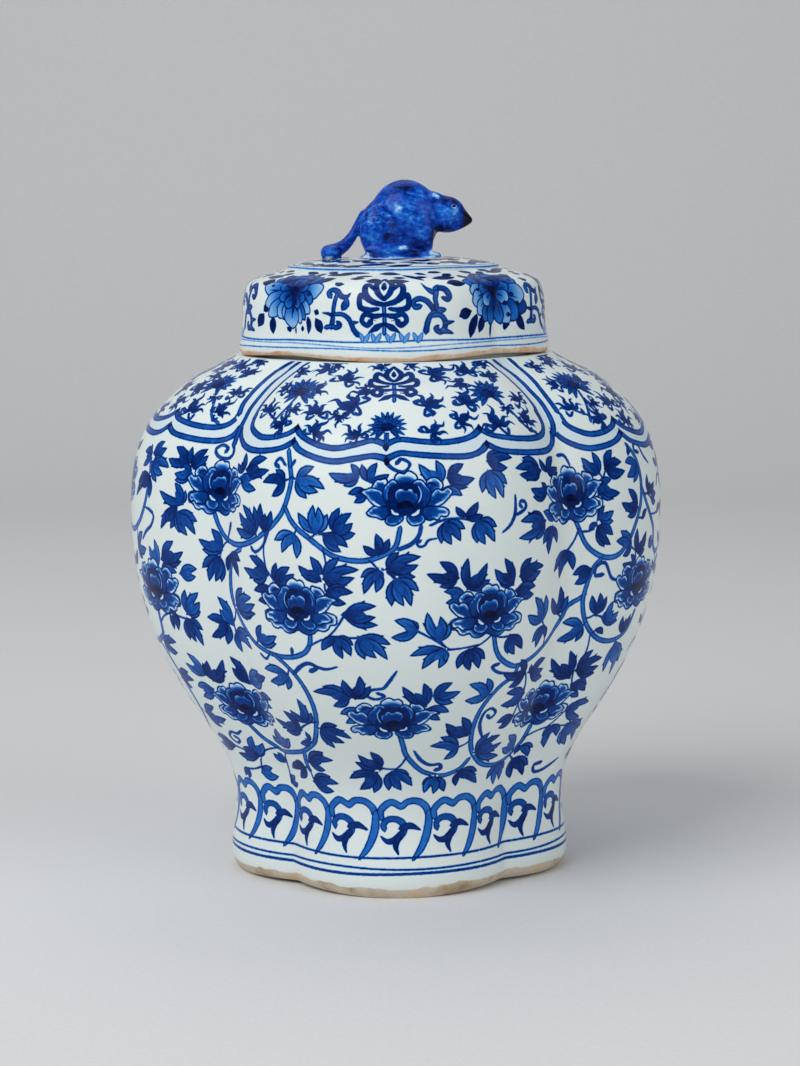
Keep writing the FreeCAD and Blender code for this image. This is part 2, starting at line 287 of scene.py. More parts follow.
class Skin:
    """The painted outside of a piece, as rows and columns of its points, and the strokes on it."""

    slots = 6  # strokes kept on a face, the topmost ones
    touching = 0.75  # mm from a stroke's edge out to which a face notes it
    covering = -0.45  # mm from its edge, inwards, from which it hides what lies below
    margin = 2.0  # mm looked at round a stroke
    broad = 100.0  # half-width that stands for a filled petal, in mm
    empty = -10  # half-width that stands for no stroke

    def __init__(self, piece, first, along):
        self.mesh = piece.data
        points = read(self.mesh.vertices, "co", 3).astype(float) * 1000
        row = np.round(read(self.mesh.attributes["row"].data, "value")).astype(int) - first
        azimuth = (np.degrees(np.arctan2(points[:, 0], -points[:, 1])) + 180.01) % 360 - 180.01
        chosen = np.flatnonzero((row >= 0) & (row < len(along)))
        chosen = chosen[np.lexsort((azimuth[chosen], row[chosen]))]
        self.grid = chosen.reshape(len(along), -1)
        self.columns = self.grid.shape[1]
        self.points = points[self.grid]
        self.azimuth = azimuth[self.grid].mean(0)
        self.along = np.array(along, float)
        self.bake_map(first)
        wide = np.concatenate([self.points[:, -2:], self.points, self.points[:, :2]], 1)
        round_it = np.gradient(wide, axis=1)[:, 2:-2]
        up_it = np.gradient(self.points, self.along, axis=0, edge_order=2)
        normals = np.cross(round_it, up_it)
        self.normals = normals / np.linalg.norm(normals, axis=2, keepdims=True)
        self.records = []

    def place(self, azimuth, along):
        """Points of the surface, in mm, straight on past its first and last rows."""
        row = np.clip(np.searchsorted(self.along, along) - 1, 0, len(self.along) - 2)
        up = ((along - self.along[row]) / (self.along[row + 1] - self.along[row]))[:, None]
        turn = (azimuth - self.azimuth[0]) % 360
        edges = np.append(self.azimuth, self.azimuth[0] + 360) - self.azimuth[0]
        column = np.clip(np.searchsorted(edges, turn, side="right") - 1, 0, self.columns - 1)
        over = ((turn - edges[column]) / (edges[column + 1] - edges[column]))[:, None]
        after = (column + 1) % self.columns
        low = self.points[row, column] * (1 - over) + self.points[row, after] * over
        high = self.points[row + 1, column] * (1 - over) + self.points[row + 1, after] * over
        return low * (1 - up) + high * up

    def window(self, azimuth, along, margin):
        """The rows and columns that lie within a margin of a stroke, or None."""
        low, high = along.min() - margin, along.max() + margin
        if high < self.along[0] or low > self.along[-1]:
            return None
        rows = np.flatnonzero((self.along >= low - 2) & (self.along <= high + 2))
        radius = np.hypot(*self.points[rows[len(rows) // 2], 0, :2])
        half = (azimuth.max() - azimuth.min()) / 2 + np.degrees(margin / radius) + 1
        off = off_azimuth(self.azimuth, (azimuth.min() + azimuth.max()) / 2)
        columns = np.flatnonzero(np.abs(off) <= min(half, 180))
        columns = columns[np.argsort(off[columns])]
        return (rows, columns) if len(rows) > 1 and len(columns) > 1 else None

    def keep(self, rows, columns, stroke, side, half, shade):
        """Notes a stroke on each face that it touches."""
        shape = len(rows), len(columns)
        side, half, shade = side.reshape(shape), half.reshape(shape), shade.reshape(shape)
        near = np.abs(side) - half
        corners = near[:-1, :-1], near[1:, :-1], near[:-1, 1:], near[1:, 1:]
        i, j = np.nonzero(np.minimum.reduce(corners) < self.touching)
        gap = (columns[(j + 1) % len(columns)] - columns[j]) % self.columns
        i, j = i[gap == 1], j[gap == 1]
        if not len(i):
            return
        values = [np.stack([a[i + di, j + dj] for a in (side, half, shade)], 1)
                  for di, dj in ((0, 0), (1, 0), (0, 1), (1, 1))]
        cells = rows[i] * self.columns + columns[j]
        opaque = np.maximum.reduce([corner[i, j] for corner in corners]) < self.covering
        inks = np.tile([*stroke["ink"], stroke["cross"]], (len(i), 1))
        self.records.append((cells, np.stack(values, 1), inks, opaque))

    def inside(self, path, rows, columns):
        """Whether the points at these rows and columns lie inside a closed path."""
        middle = path[:, 0].mean()
        x = np.tile(off_azimuth(self.azimuth[columns], middle), len(rows))[:, None]
        y = np.repeat(self.along[rows], len(columns))[:, None]
        px, py = path[:, 0] - middle, path[:, 1]
        qx, qy = np.roll(px, -1), np.roll(py, -1)
        rise = np.where(qy == py, 1e-9, qy - py)
        crossing = ((py > y) != (qy > y)) & (x < (qx - px) * (y - py) / rise + px)
        return crossing.sum(1) % 2 == 1

    def brush(self, stroke):
        """Lays one stroke: a line with a width, or the outline of a petal, which has a root."""
        azimuth, along = stroke["path"].T
        petal = "root" in stroke
        found = self.window(azimuth, along, self.margin + (0 if petal else stroke["half"].max()))
        if found is None:
            return
        rows, columns = found
        path = self.place(azimuth, along)
        if petal:
            path = np.vstack([path, path[:1]])
        points = self.points[np.ix_(rows, columns)].reshape(-1, 3)
        start, step = path[:-1], np.diff(path, axis=0)
        length2 = np.maximum((step ** 2).sum(1), 1e-9)
        free = ((points[:, None] - start) * step).sum(2) / length2
        part = np.clip(free, 0, 1)
        distance2 = ((points[:, None] - start - part[..., None] * step) ** 2).sum(2)
        piece = distance2.argmin(1)
        pick = np.arange(len(points)), piece
        if petal:
            depth = np.sqrt(distance2[pick]) * np.where(self.inside(stroke["path"], rows, columns), 1, -1)
            root = self.place(*np.array(stroke["root"], float)[:, None])
            far = np.linalg.norm(path - root, axis=1).max()
            shade = stroke["shade"](np.linalg.norm(points - root, axis=1) / far, depth)
            side, half = self.broad - depth, np.full(len(points), self.broad)
        else:
            free, part = free[pick], part[pick]
            span = np.sqrt(length2[piece])
            before = np.where((piece == 0) & (free < 0), -free * span, 0)
            beyond = before + np.where((piece == len(start) - 1) & (free > 1), (free - 1) * span, 0)
            off = points - start[piece] - np.where(beyond > 0, free, part)[:, None] * step[piece]
            left = np.cross(self.normals[np.ix_(rows, columns)].reshape(-1, 3), step[piece])
            side = np.linalg.norm(off, axis=1) * np.sign((off * left).sum(1))
            gone = np.clip((piece + part) / len(start), 0, 1)
            half = np.interp(gone, np.linspace(0, 1, len(stroke["half"])), stroke["half"]) - beyond
            shade = stroke["fade"][0] + (stroke["fade"][1] - stroke["fade"][0]) * gone
        self.keep(rows, columns, stroke, side, half, shade)

    def paint(self, strokes):
        """Lays the strokes in order and stores the top ones of each face on its corners."""
        for stroke in strokes:
            self.brush(stroke)
        cells, values, inks, opaque = (np.concatenate(part) for part in zip(*self.records))
        layer = np.repeat(np.arange(len(self.records)), [len(record[0]) for record in self.records])
        order = np.lexsort((-layer, cells))
        cells, values, inks, opaque = cells[order], values[order], inks[order], opaque[order]
        first = np.flatnonzero(np.append(True, cells[1:] != cells[:-1]))
        rank = np.arange(len(cells)) - np.repeat(first, np.diff(np.append(first, len(cells))))
        total = len(self.along) * self.columns
        used, hidden = np.zeros(total, int), np.zeros(total, bool)
        brush = np.zeros((self.slots, total, 4, 4), np.float32)
        brush[..., 1] = self.empty
        ink = np.zeros((self.slots, total, 4), np.float32)
        for level in range(rank.max() + 1):
            now = np.flatnonzero(rank == level)
            cell = cells[now]
            good = ~hidden[cell] & (used[cell] < self.slots)
            now, cell = now[good], cell[good]
            slot = self.slots - 1 - used[cell]
            brush[slot, cell, :, :3] = values[now]
            brush[slot, cell, :, 3] = inks[now, 4][:, None]
            ink[slot, cell] = inks[now, :4]
            used[cell] += 1
            hidden[cell] |= opaque[now]
        self.store(brush, ink)

    def bake_map(self, first):
        """A map for the bake: the painted side as four quarters, laid two by two, the rest as a strip."""
        mesh = self.mesh
        vertex, total = read(mesh.loops, "vertex_index"), read(mesh.polygons, "loop_total")
        face = np.repeat(np.arange(len(total)), total)
        begin = np.cumsum(total) - total
        x, y = read(mesh.vertices, "co", 3)[vertex, :2].T
        row = np.round(read(mesh.attributes["row"].data, "value"))[vertex]
        column = (np.degrees(np.arctan2(x, -y)) - self.azimuth[0]) % 360 / 360
        pole = np.hypot(x, y) < 0.001 * mm
        known = begin + np.where(pole[begin], 1, 0)
        column = np.where(pole, column[known][face], column)
        column = column - np.round(column - column[known][face])
        column = column - np.floor(np.minimum.reduceat(column, begin) + 1e-4)[face]
        spans, last = row.max() + 1, len(self.along) - 1
        row = (row - first) % spans
        high = np.maximum.reduceat(row, begin)[face]
        row = np.where((row == 0) & (high == spans - 1), spans, row)
        painted = high <= last
        quarter = np.floor((np.minimum.reduceat(column, begin) + 1e-4) * 4)[face]
        wide, tall, strip = 0.49, 0.46, 0.945
        u = np.where(painted, (column * 4 - quarter) * wide + (quarter % 2) / 2, column * 0.99) + 0.004
        rest = strip + 0.05 * (row - last) / (spans - last)
        v = np.where(painted, row / last * tall + (quarter // 2) * (tall + 0.01) + 0.002, rest)
        layer = mesh.uv_layers.new(name="OFBake")
        layer.data.foreach_set("uv", np.column_stack([u, v]).astype(np.float32).ravel())

    def store(self, brush, ink):
        """Puts the strokes on the mesh's corners, and the surface's own normals with them."""
        mesh = self.mesh
        vertex, total = read(mesh.loops, "vertex_index"), read(mesh.polygons, "loop_total")
        row, column = np.full(len(mesh.vertices), -1), np.full(len(mesh.vertices), -1)
        row[self.grid] = np.arange(self.grid.shape[0])[:, None]
        column[self.grid] = np.arange(self.columns)[None]
        begin = np.cumsum(total) - total
        four = begin[total == 4][:, None] + np.arange(4)
        r, c = row[vertex[four]], column[vertex[four]]
        painted = (r.min(1) >= 0) & (r.max(1) - r.min(1) == 1)
        four, r, c = four[painted], r[painted], c[painted]
        wraps = c.max(1) - c.min(1) > 1
        left = np.where(wraps, self.columns - 1, c.min(1))
        low = r.min(1)
        code = (r - low[:, None]) + 2 * (c != left[:, None])
        cell = low * self.columns + left
        for slot in range(self.slots):
            for name, fill, data in (("brush", self.empty, brush[slot][cell[:, None], code]),
                                     ("ink", 0, np.repeat(ink[slot][cell][:, None], 4, 1))):
                whole = np.zeros((len(vertex), 4), np.float32)
                whole[:, 1] = fill
                whole[four] = data
                layer = mesh.attributes.new(f"{name}_{slot + 1}", "FLOAT_COLOR", "CORNER")
                layer.data.foreach_set("color", whole.ravel())
        normals = np.zeros((len(vertex), 3))
        normals[four] = self.normals[r, c]
        mesh.polygons.foreach_set("use_smooth", np.ones(len(mesh.polygons), bool))
        mesh.normals_split_custom_set(normals)
        self.records = []


def linear(red, green, blue):
    """A colour as the shader wants it, from its values between 0 and 255."""
    return tuple((v / 255 / 12.92) if v <= 10 else ((v / 255 + 0.055) / 1.055) ** 2.4
                 for v in (red, green, blue))


cobalt_stops = [
    (0.00, linear(226, 235, 233)), (0.10, linear(186, 214, 236)), (0.25, linear(104, 164, 220)),
    (0.40, linear(34, 112, 198)), (0.55, linear(8, 76, 162)), (0.70, linear(1, 50, 126)),
    (0.84, linear(0, 30, 94)), (1.00, linear(0, 9, 46)),
]
orange_clay = [(0.28, linear(176, 132, 98)), (0.42, linear(218, 176, 140)), (0.55, linear(226, 204, 182)),
               (0.75, linear(216, 208, 194))]
grey_clay = [(0.26, linear(120, 104, 84)), (0.40, linear(186, 166, 138)), (0.54, linear(206, 196, 178)),
             (0.66, linear(212, 184, 150)), (0.80, linear(196, 190, 176))]


def blank_material(name):
    """A material with an empty node tree, and the wire from which its nodes are added."""
    material = bpy.data.materials.new(name)
    material.use_nodes = True
    material.node_tree.nodes.clear()
    return material, Wire(material.node_tree)


def surfaced(start, sockets):
    """Ends a material in one shader with these values and links."""
    shader = start.add("ShaderNodeBsdfPrincipled", None, sockets)
    start.add("ShaderNodeOutputMaterial", None, {"Surface": shader})


def painted_porcelain(name, bare_to=-1.0, groove_lift=0.0, clay_stops=orange_clay, bare_from=9.0,
                      strokes=Skin.slots):
    """White porcelain with cobalt strokes under a clear glaze, read from the piece's corners.

    A stroke whose edge darkness is above 1 has a dark vein down its middle as well. The
    glaze is wiped off above the height bare_from and below the height bare_to, which is
    higher by groove_lift in the grooves.
    """
    edge_blur, halo_width, halo_dark = 0.5, 0.75, 0.15
    vein_half, vein_dark = 0.6, 0.55
    speck_scale, speck_share, speck_brown = 34.0, 0.10, linear(94, 58, 34)
    glaze_tint = (0.93, 0.95, 0.93)
    ragged_edge, edge_softness = 6 * mm, 0.7 * mm

    material, start = blank_material(name)
    place = start.add("ShaderNodeTexCoord").beside("Object")
    wobble = place.noise(520) - 0.5
    cloud = place.noise(170, 3.0) - 0.5
    grain = place.noise(900, 2.0, 0.6) - 0.5
    dark = start.math("ADD", 0.0, 0.0)
    for slot in range(1, strokes + 1):
        brush = start.add("ShaderNodeAttribute", {"attribute_name": f"brush_{slot}"})
        ink = start.add("ShaderNodeAttribute", {"attribute_name": f"ink_{slot}"})
        side, line = brush.split(), ink.split()
        half, shade, cross = side.beside(1), side.beside(2), brush.beside("Alpha")
        width, tip, root = line.beside(1), line.beside(2), ink.beside("Alpha")
        veined = start.math("GREATER_THAN", line, 1.0)
        line = line - veined
        inside = half - side.size() + wobble * 0.5
        cover = (inside / edge_blur + 0.5).clamp()
        halo = (inside / halo_width + 1.0).clamp() * halo_dark
        fade = (shade + cross * side / start.math("MAXIMUM", half, 0.3) + cloud * 0.5).clamp()
        fill = root + (tip - root) * fade
        pool = (1.9 - inside / width * 1.6).clamp()
        vein = veined * (1.0 - side.size() / vein_half).clamp() * (0.95 - shade).clamp() * vein_dark
        tone = fill + (line - fill) * start.math("MAXIMUM", pool, vein)
        dark = start.math("MAXIMUM", dark, halo)
        dark = dark + (tone - dark) * cover
    dark = dark * (1.0 + cloud * 0.55 + grain * 0.35)
    tinted = (place.noise(26.0, 3.0) - 0.45).clamp() * 1.2
    colour = dark.ramp(cobalt_stops).mix((*glaze_tint, 1), tinted, "MULTIPLY")

    specks = start.add("ShaderNodeTexVoronoi", None, {
        "Vector": place, "Scale": speck_scale, "Randomness": 1.0})
    chance = specks.beside("Color").split()
    speck = (1.35 - specks * speck_scale / (chance.beside(1) * 1.6 + 0.5)).clamp()
    speck = speck * start.math("GREATER_THAN", chance, 1 - speck_share)
    colour = colour.mix((*speck_brown, 1), speck * 0.8)

    x = place.split()
    y, z = x.beside(1), x.beside(2)
    grooved = x * y * 2.0 / (x * x + y * y + 1e-6)
    low = bare_to - (z - groove_lift * grooved * grooved)
    bare = start.math("MAXIMUM", low, z - bare_from) + (place.noise(60, 3.0) - 0.5) * ragged_edge
    bare = (bare / edge_softness).clamp()
    colour = colour.mix(place.noise(42, 4.0, 0.65).ramp(clay_stops), bare)
    ripple = start.add("ShaderNodeBump", None, {
        "Strength": 0.12, "Distance": 0.8 * mm, "Height": place.noise(38) + bare * grain * 0.6})
    surfaced(start, {
        "Base Color": colour, "Roughness": place.noise(90) * 0.08 + 0.14 + bare * 0.55,
        "Normal": ripple, "Specular IOR Level": 0.11})
    return material


porcelain = painted_porcelain("painted_porcelain")
degree_width = 2.4


def smooth_line(points, spacing=0.9, closed=False):
    """A smooth line of (azimuth, along) places through given points, about spacing mm apart."""
    p = np.array(points, float)

    def steps(a, b):
        """How many steps the way from a to b takes, at about degree_width mm to a degree."""
        return max(2, int(np.hypot((b[0] - a[0]) * degree_width, b[1] - a[1]) / spacing) + 1)

    if len(p) == 2 and not closed:
        return p[0] + (p[1] - p[0]) * np.linspace(0, 1, steps(*p))[:, None]
    if closed:
        p = np.vstack([p[-1], p, p[:2]])
    else:
        p = np.vstack([2 * p[0] - p[1], p, 2 * p[-1] - p[-2]])
    out = []
    for a, b, c, d in zip(p, p[1:], p[2:], p[3:]):
        s = np.linspace(0, 1, steps(b, c), endpoint=False)[:, None]
        bend = (2 * a - 5 * b + 4 * c - d) * s ** 2 + (3 * b - a - 3 * c + d) * s ** 3
        out.append(0.5 * (2 * b + (c - a) * s + bend))
    if not closed:
        out.append(p[-2:-1])
    return np.vstack(out)


# Inks: darkness of the edge line, its width in mm, darkness at the tip and at the root
stem_ink = (0.82, 0.7, 0.43, 0.43)
line_ink = (0.76, 0.5, 0.64, 0.64)
dark_ink = (0.92, 0.5, 0.8, 0.88)


def line_stroke(points, half, ink=line_ink, fade=(0.3, 0.3), cross=0.0, smooth=True):
    """A brush line: half-widths in mm along it, the fade from root to tip at its ends and across it."""
    path = smooth_line(points) if smooth else np.array(points, float)
    half = np.atleast_1d(np.array(half, float))
    return {"path": path, "half": half, "ink": ink, "fade": fade, "cross": cross}


def turned(strokes, degrees):
    """The same strokes further round the jar."""
    out = []
    for stroke in strokes:
        new = dict(stroke, path=stroke["path"] + (degrees, 0))
        if "root" in stroke:
            new["root"] = (stroke["root"][0] + degrees, stroke["root"][1])
        out.append(new)
    return out


def ring_line(along, half, ink, wave=0.3, seed=0.0):
    """A thin line drawn round the pot by hand, so that it wanders a little."""
    azimuth = np.arange(-180, 181, 2.0)
    slow, quick = np.radians(azimuth * 3 + seed * 70), np.radians(azimuth * 7 + seed * 190)
    whole = np.column_stack([azimuth, along + wave * (np.sin(slow) + 0.6 * np.sin(quick))])
    return [line_stroke(whole[i:i + 16], half, ink, smooth=False) for i in range(0, len(whole) - 1, 15)]


def painted_piece(name, before, along, outside, after, strokes, glaze, columns=wall_columns):
    """A lobed piece with rows before and after its outside, which carries the strokes."""
    piece = lobed_piece(name, before + list(outside) + after, glaze, columns)
    Skin(piece, len(before), along).paint(strokes)
    return piece


# One lappet of the border: a round-topped arch, its long side and the curled leaf inside
curl_dark, leaf_dark = (0.86, 0.6, 0.44, 0.60), (0.90, 0.6, 0.56, 0.80)
lappet = [
    line_stroke([(-6.6, 47), (-6.8, 51), (-5.2, 54.5), (-3.0, 56.6), (-0.6, 54.6), (0.4, 54.0), (2.4, 56.8),
                 (5.6, 57.0), (8.4, 53.5), (9.6, 48)], [1.9, 2.1, 1.9, 2.1, 2.0], stem_ink),
    line_stroke([(9.6, 50), (9.4, 43), (8.4, 36), (6.4, 29), (3.9, 23.6)], [2.0, 2.4, 2.3, 1.9, 1.0],
                stem_ink),
    line_stroke([(-5.6, 40.6), (-5.8, 43.6), (-4.0, 46.4), (-1.0, 46.2), (0.9, 43.4), (0.9, 39.6),
                 (-0.8, 35.6)], [1.7, 1.7, 1.8, 1.9, 2.0, 2.0, 1.8], curl_dark),
    line_stroke([(0.2, 41.5), (3.2, 42.6), (6.6, 40.2)], [2.0, 1.9, 0.5], leaf_dark),
    line_stroke([(0.4, 38.5), (-2.2, 34.6), (-4.8, 34.0), (-6.8, 36.8)], [1.9, 2.0, 1.5, 0.4], leaf_dark),
    line_stroke([(-0.6, 36.8), (-1.8, 31.5), (-0.9, 26.6)], [1.8, 1.7, 0.4], (0.90, 0.6, 0.62, 0.84)),
]
lappets, first_lappet = 20, 0.7
border = []
for number in range(lappets):
    border += turned(lappet, first_lappet + 360 / lappets * number)
for along, half, ink in [(24.8, 0.55, line_ink), (18.4, 0.5, line_ink), (15.4, 0.7, stem_ink)]:
    border += ring_line(along, half, ink, 0.35, along)

# The bottom edge arches up a little in each groove. Rows: radius, height, groove share, fillet, lift
groove_lift, lift_end = 2.3, 9
foot_along = np.concatenate([np.linspace(0, 4, 5), np.linspace(5.0, jar_knots[waist], 30)])
foot_outside = jar_rows(foot_along)
foot_outside[:, 4] = np.interp(foot_along, [0, lift_end], [groove_lift, 0])
foot_inside = [(89, 37, 0.86, 12.5, 0), (88.6, 30, 0.86, 12, 0), (86, 23, 0.86, 9, 0),
               (80, 17, 0.87, 8, 0), (72, 15.2, 0.87, 6, 0), (40, 15, 0.87, 5, 0), (0, 15, 0.87, 5, 0)]
foot_under = [(0, 6, 0.87, 5, 0), (60, 6, 0.85, 12, 0), (82.5, 6, 0.85, 17, 0), (83.2, 5, 0.85, 17, 0),
              (83.5, 1.2, 0.855, 17, groove_lift), (84.6, 0.1, 0.857, 15, groove_lift),
              (92.6, 0.05, 0.868, 7, groove_lift)]
foot_glaze = painted_porcelain("foot_porcelain", 6.2 * mm, groove_lift * mm, grey_clay)
foot = painted_piece("foot_painted", foot_under, foot_along, foot_outside, foot_inside, border, foot_glaze)
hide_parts("foot")
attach(foot, "jar")

# The lower body: thrown porcelain, luted to the foot at the waist and pressed into
# four lobes. A peony scroll in cobalt runs right round it and on to the shoulder:
# the painter drew the stems first, then the leaves, and the flowers over them.


def degree_widths(stations):
    """How many millimetres a degree spans, read at distances up the curve through the stations."""
    knots, share_of_radius = lengths_up(stations), 0.0172
    return lambda along: share_of_radius * np.interp(along, knots, stations[:, 0])


jar_degree = degree_widths(jar_stations)


def from_middle(azimuth, along, points, mirror=1, size=1.0, degree=jar_degree):
    """Places on the pot for points in mm right of and above a motif's middle."""
    p = np.array(points, float) * size
    up = along + p[:, 1]
    return np.column_stack([azimuth + mirror * p[:, 0] / degree(up), up])


def petal_stroke(path, root, ink, shade):
    """A filled petal: its closed outline, its root, and its shade by the reach from root to tip."""
    return {"path": smooth_line(path, 0.6, True), "root": tuple(root), "ink": ink, "shade": shade,
            "cross": 0.0}


def petal_shade(white_from, rim, rim_from):
    """A petal is dark at its root and left white at its outer edge."""
    def shade(reach, depth):
        outer = np.clip((reach - white_from) / 0.16, 0, 1)
        edge = np.clip((rim - depth) / 0.9, 0, 1) * np.clip((reach - rim_from) / 0.12, 0, 1)
        return np.maximum(outer, edge)
    return shade


petal_ink = (0.93, 0.85, 0.03, 0.68)
heart_ink = (0.84, 0.9, 0.62, 0.86)
bud_ink = (0.9, 0.8, 0.02, 0.72)
bare_ink = (0.1, 0.4, 0.03, 0.03)
# Peony petals, back ones first: outline and root in mm from the flower's dark heart, the
# share of the petal's reach where the white begins, the white rim's width and where it begins
peony = [
    ([(-7, 12.8), (-6.8, 15.6), (-5.3, 17.3), (-2.8, 18.7), (-0.6, 18.3), (0.4, 17.2), (2.8, 17.9),
      (4.8, 16.6), (5.6, 13.4), (3.2, 9.5), (-4.6, 9.5)], (-0.6, 6.5), 0.62, 1.2, 0.5),
    ([(-20.9, 10.4), (-20.2, 12), (-18.4, 13.7), (-16.6, 14.9), (-13.6, 14.7), (-11.7, 13.2),
      (-10.6, 10.8), (-12, 6.5), (-16.5, 6.5), (-19.9, 7.9)], (-10, 3.5), 0.86, 2.6, 0.5),
    ([(8.6, 12.6), (9.4, 14.8), (10.9, 15), (12.3, 14.1), (14.1, 14.3), (15.9, 13), (17, 11.3),
      (17.8, 9.6), (15.5, 7.6), (11.9, 6.4), (9.3, 8)], (8.5, 3.5), 0.9, 2.5, 0.5),
    ([(-26, 6.2), (-25.4, 8), (-23.4, 9.3), (-21.5, 8.9), (-20, 7.6), (-18.3, 8.9), (-16.2, 8.6),
      (-14.6, 7), (-11.5, 3), (-10, -1.6), (-16.6, -1.6), (-20.4, 0.1), (-23.4, 2.8)],
     (-7, -1), 0.97, 2.3, 0.35),
    ([(25.6, 7.2), (22.5, 8.9), (19.9, 9), (18, 10), (14.6, 9.2), (12, 8.2), (10.2, 4.5),
      (9.5, -1.4), (13.2, -1.5), (16.6, 0), (18.9, 2.1), (20.3, 4.1), (22.5, 5.9)],
     (7, -1), 0.97, 2.2, 0.35),
    ([(-19.4, -1), (-22.2, -1.9), (-23.8, -3.6), (-23.4, -6), (-21.4, -7.2), (-19.4, -6.4),
      (-18.4, -8), (-16.7, -8.7), (-14.9, -7.8), (-13.4, -8.7), (-11.4, -8.2), (-9, -6.8), (-7.5, -3),
      (-12, -0.3)], (-5.5, -0.5), 0.88, 2.4, 0.55),
    ([(13.9, 0), (16.6, -0.1), (18.9, -1.7), (20.7, -4), (20.1, -5.5), (17.4, -6.3), (14.9, -6.7),
      (12.9, -7.8), (10.4, -7.4), (6.5, -5), (7.5, -1)], (4.5, -0.5), 0.84, 2.2, 0.55),
    ([(-11.4, 10.9), (-10.2, 13), (-8.3, 13.9), (-5.2, 13.5), (-3.6, 10.5), (-5.5, 1.5), (-10, -1.4),
      (-13.4, 2), (-14.2, 7.3)], (-5.5, -2), 0.97, 2.1, 0.72),
    ([(3.7, 12.8), (6.3, 14.2), (8.4, 13), (10.8, 10.4), (11.9, 7.2), (11.5, 3.6), (9, -0.6),
      (4.5, 0), (3, 9)], (3.5, -2), 0.98, 2, 0.7),
    ([(-10.6, -6.3), (-10.4, -8.9), (-8.6, -10.4), (-6.6, -11.1), (-4, -11.3), (-2, -10),
      (-0.4, -7.6), (-1.6, -4.6), (-5, -4.4), (-9, -4.6)], (-4.6, -2), 0.78, 1.9, 0.5),
    ([(0.6, -7.2), (2.8, -9.6), (5.2, -10.8), (7.9, -11.1), (9.9, -10), (11, -7.8), (8.5, -4.4),
      (4.5, -4.2), (1.4, -4.8)], (5.4, -2), 0.86, 1.6, 0.5),
]
heart = ([(-9.8, -1), (-9.2, -5.2), (-4.2, -6.6), (-0.8, -5.4), (2, -6), (6, -5.8), (9, -3.6),
          (9.8, 4.5), (8, 9.4), (3.6, 12), (-3.2, 12.2), (-7.9, 9.6), (-9.4, 4.6)],
         (0, 0), 2, 0, 2)
bud = ([(-7, 2.6), (-7.2, 5.6), (-6.4, 7.4), (-4.9, 7), (-4.2, 8.9), (-2.2, 9.6), (-0.7, 8.2),
        (0.9, 9.3), (3.4, 9.2), (5.4, 7.4), (5.6, 4.4), (3.8, 0.8), (-0.5, -1.6), (-4.7, 0.4)],
       (-0.4, -1), 0.74, 1.6, 0.6)
# A frilled row behind them all, on the heads that are seen full face
frill = ([(-22.6, -1), (-24.4, -3.8), (-23.4, -7.6), (-20.2, -8.2), (-18.9, -10.6), (-15.6, -11.8),
          (-12.6, -10.6), (-10.8, -12.8), (-7.2, -13.9), (-3.8, -12.9), (-1.2, -11.4), (1.4, -12.9),
          (5.2, -13.9), (8.8, -12.9), (11.4, -10.8), (14.8, -11.4), (17.8, -9.8), (19.2, -7.6),
          (22.2, -7.2), (23.4, -4), (21.6, -0.8), (9, 2), (-9, 2)], (0, -1), 0.9, 2.7, 0.5)
# Fine strokes inside the flower: points in mm, half-width, ink
peony_strokes = [
    ([(-20.3, 1.6), (-18.6, 0.6), (-16.6, 0.0)], 0.5, bare_ink),
    ([(13.2, -0.2), (15.4, 0.8), (17.0, 2.3)], 0.6, bare_ink),
    ([(-16.9, 10.0), (-15.0, 11.4), (-12.8, 11.6), (-11.6, 10.6)], 0.5, dark_ink),
    ([(-6.9, 10.4), (-8.5, 7.4), (-8.4, 4), (-7, 1.2)], 0.4, (0.3, 0.3, 0.16, 0.16)),
    ([(8.4, 9.4), (9.6, 6.4), (9.2, 3)], 0.3, (0.4, 0.3, 0.3, 0.3)),
    ([(-7.2, -2.9), (-6.2, -4.4), (-3.9, -5.3)], 0.8, bare_ink),
    ([(7.0, -2.6), (6.2, -4.2), (3.6, -4.7)], 0.65, bare_ink),
    ([(-2.9, -0.2), (0, 0.6), (2.9, -0.4)], 1.9, (1, 1.2, 1, 1)),
]


def flower(azimuth, along, mirror, size, frilled):
    """One peony head: its petals, back ones first, its heart and bud, and fine strokes inside."""
    petals = [(petal, petal_ink) for petal in [frill] * frilled + peony]
    out = []
    for (points, root, white_from, rim, rim_from), ink in petals + [(heart, heart_ink), (bud, bud_ink)]:
        path = from_middle(azimuth, along, points, mirror, size)
        root = from_middle(azimuth, along, [root], mirror, size)[0]
        out.append(petal_stroke(path, root, ink, petal_shade(white_from, rim * size * 0.95, rim_from)))
    for points, half, ink in peony_strokes:
        out.append(line_stroke(from_middle(azimuth, along, points, mirror, size), half * size, ink))
    return out


rng = np.random.default_rng(7)


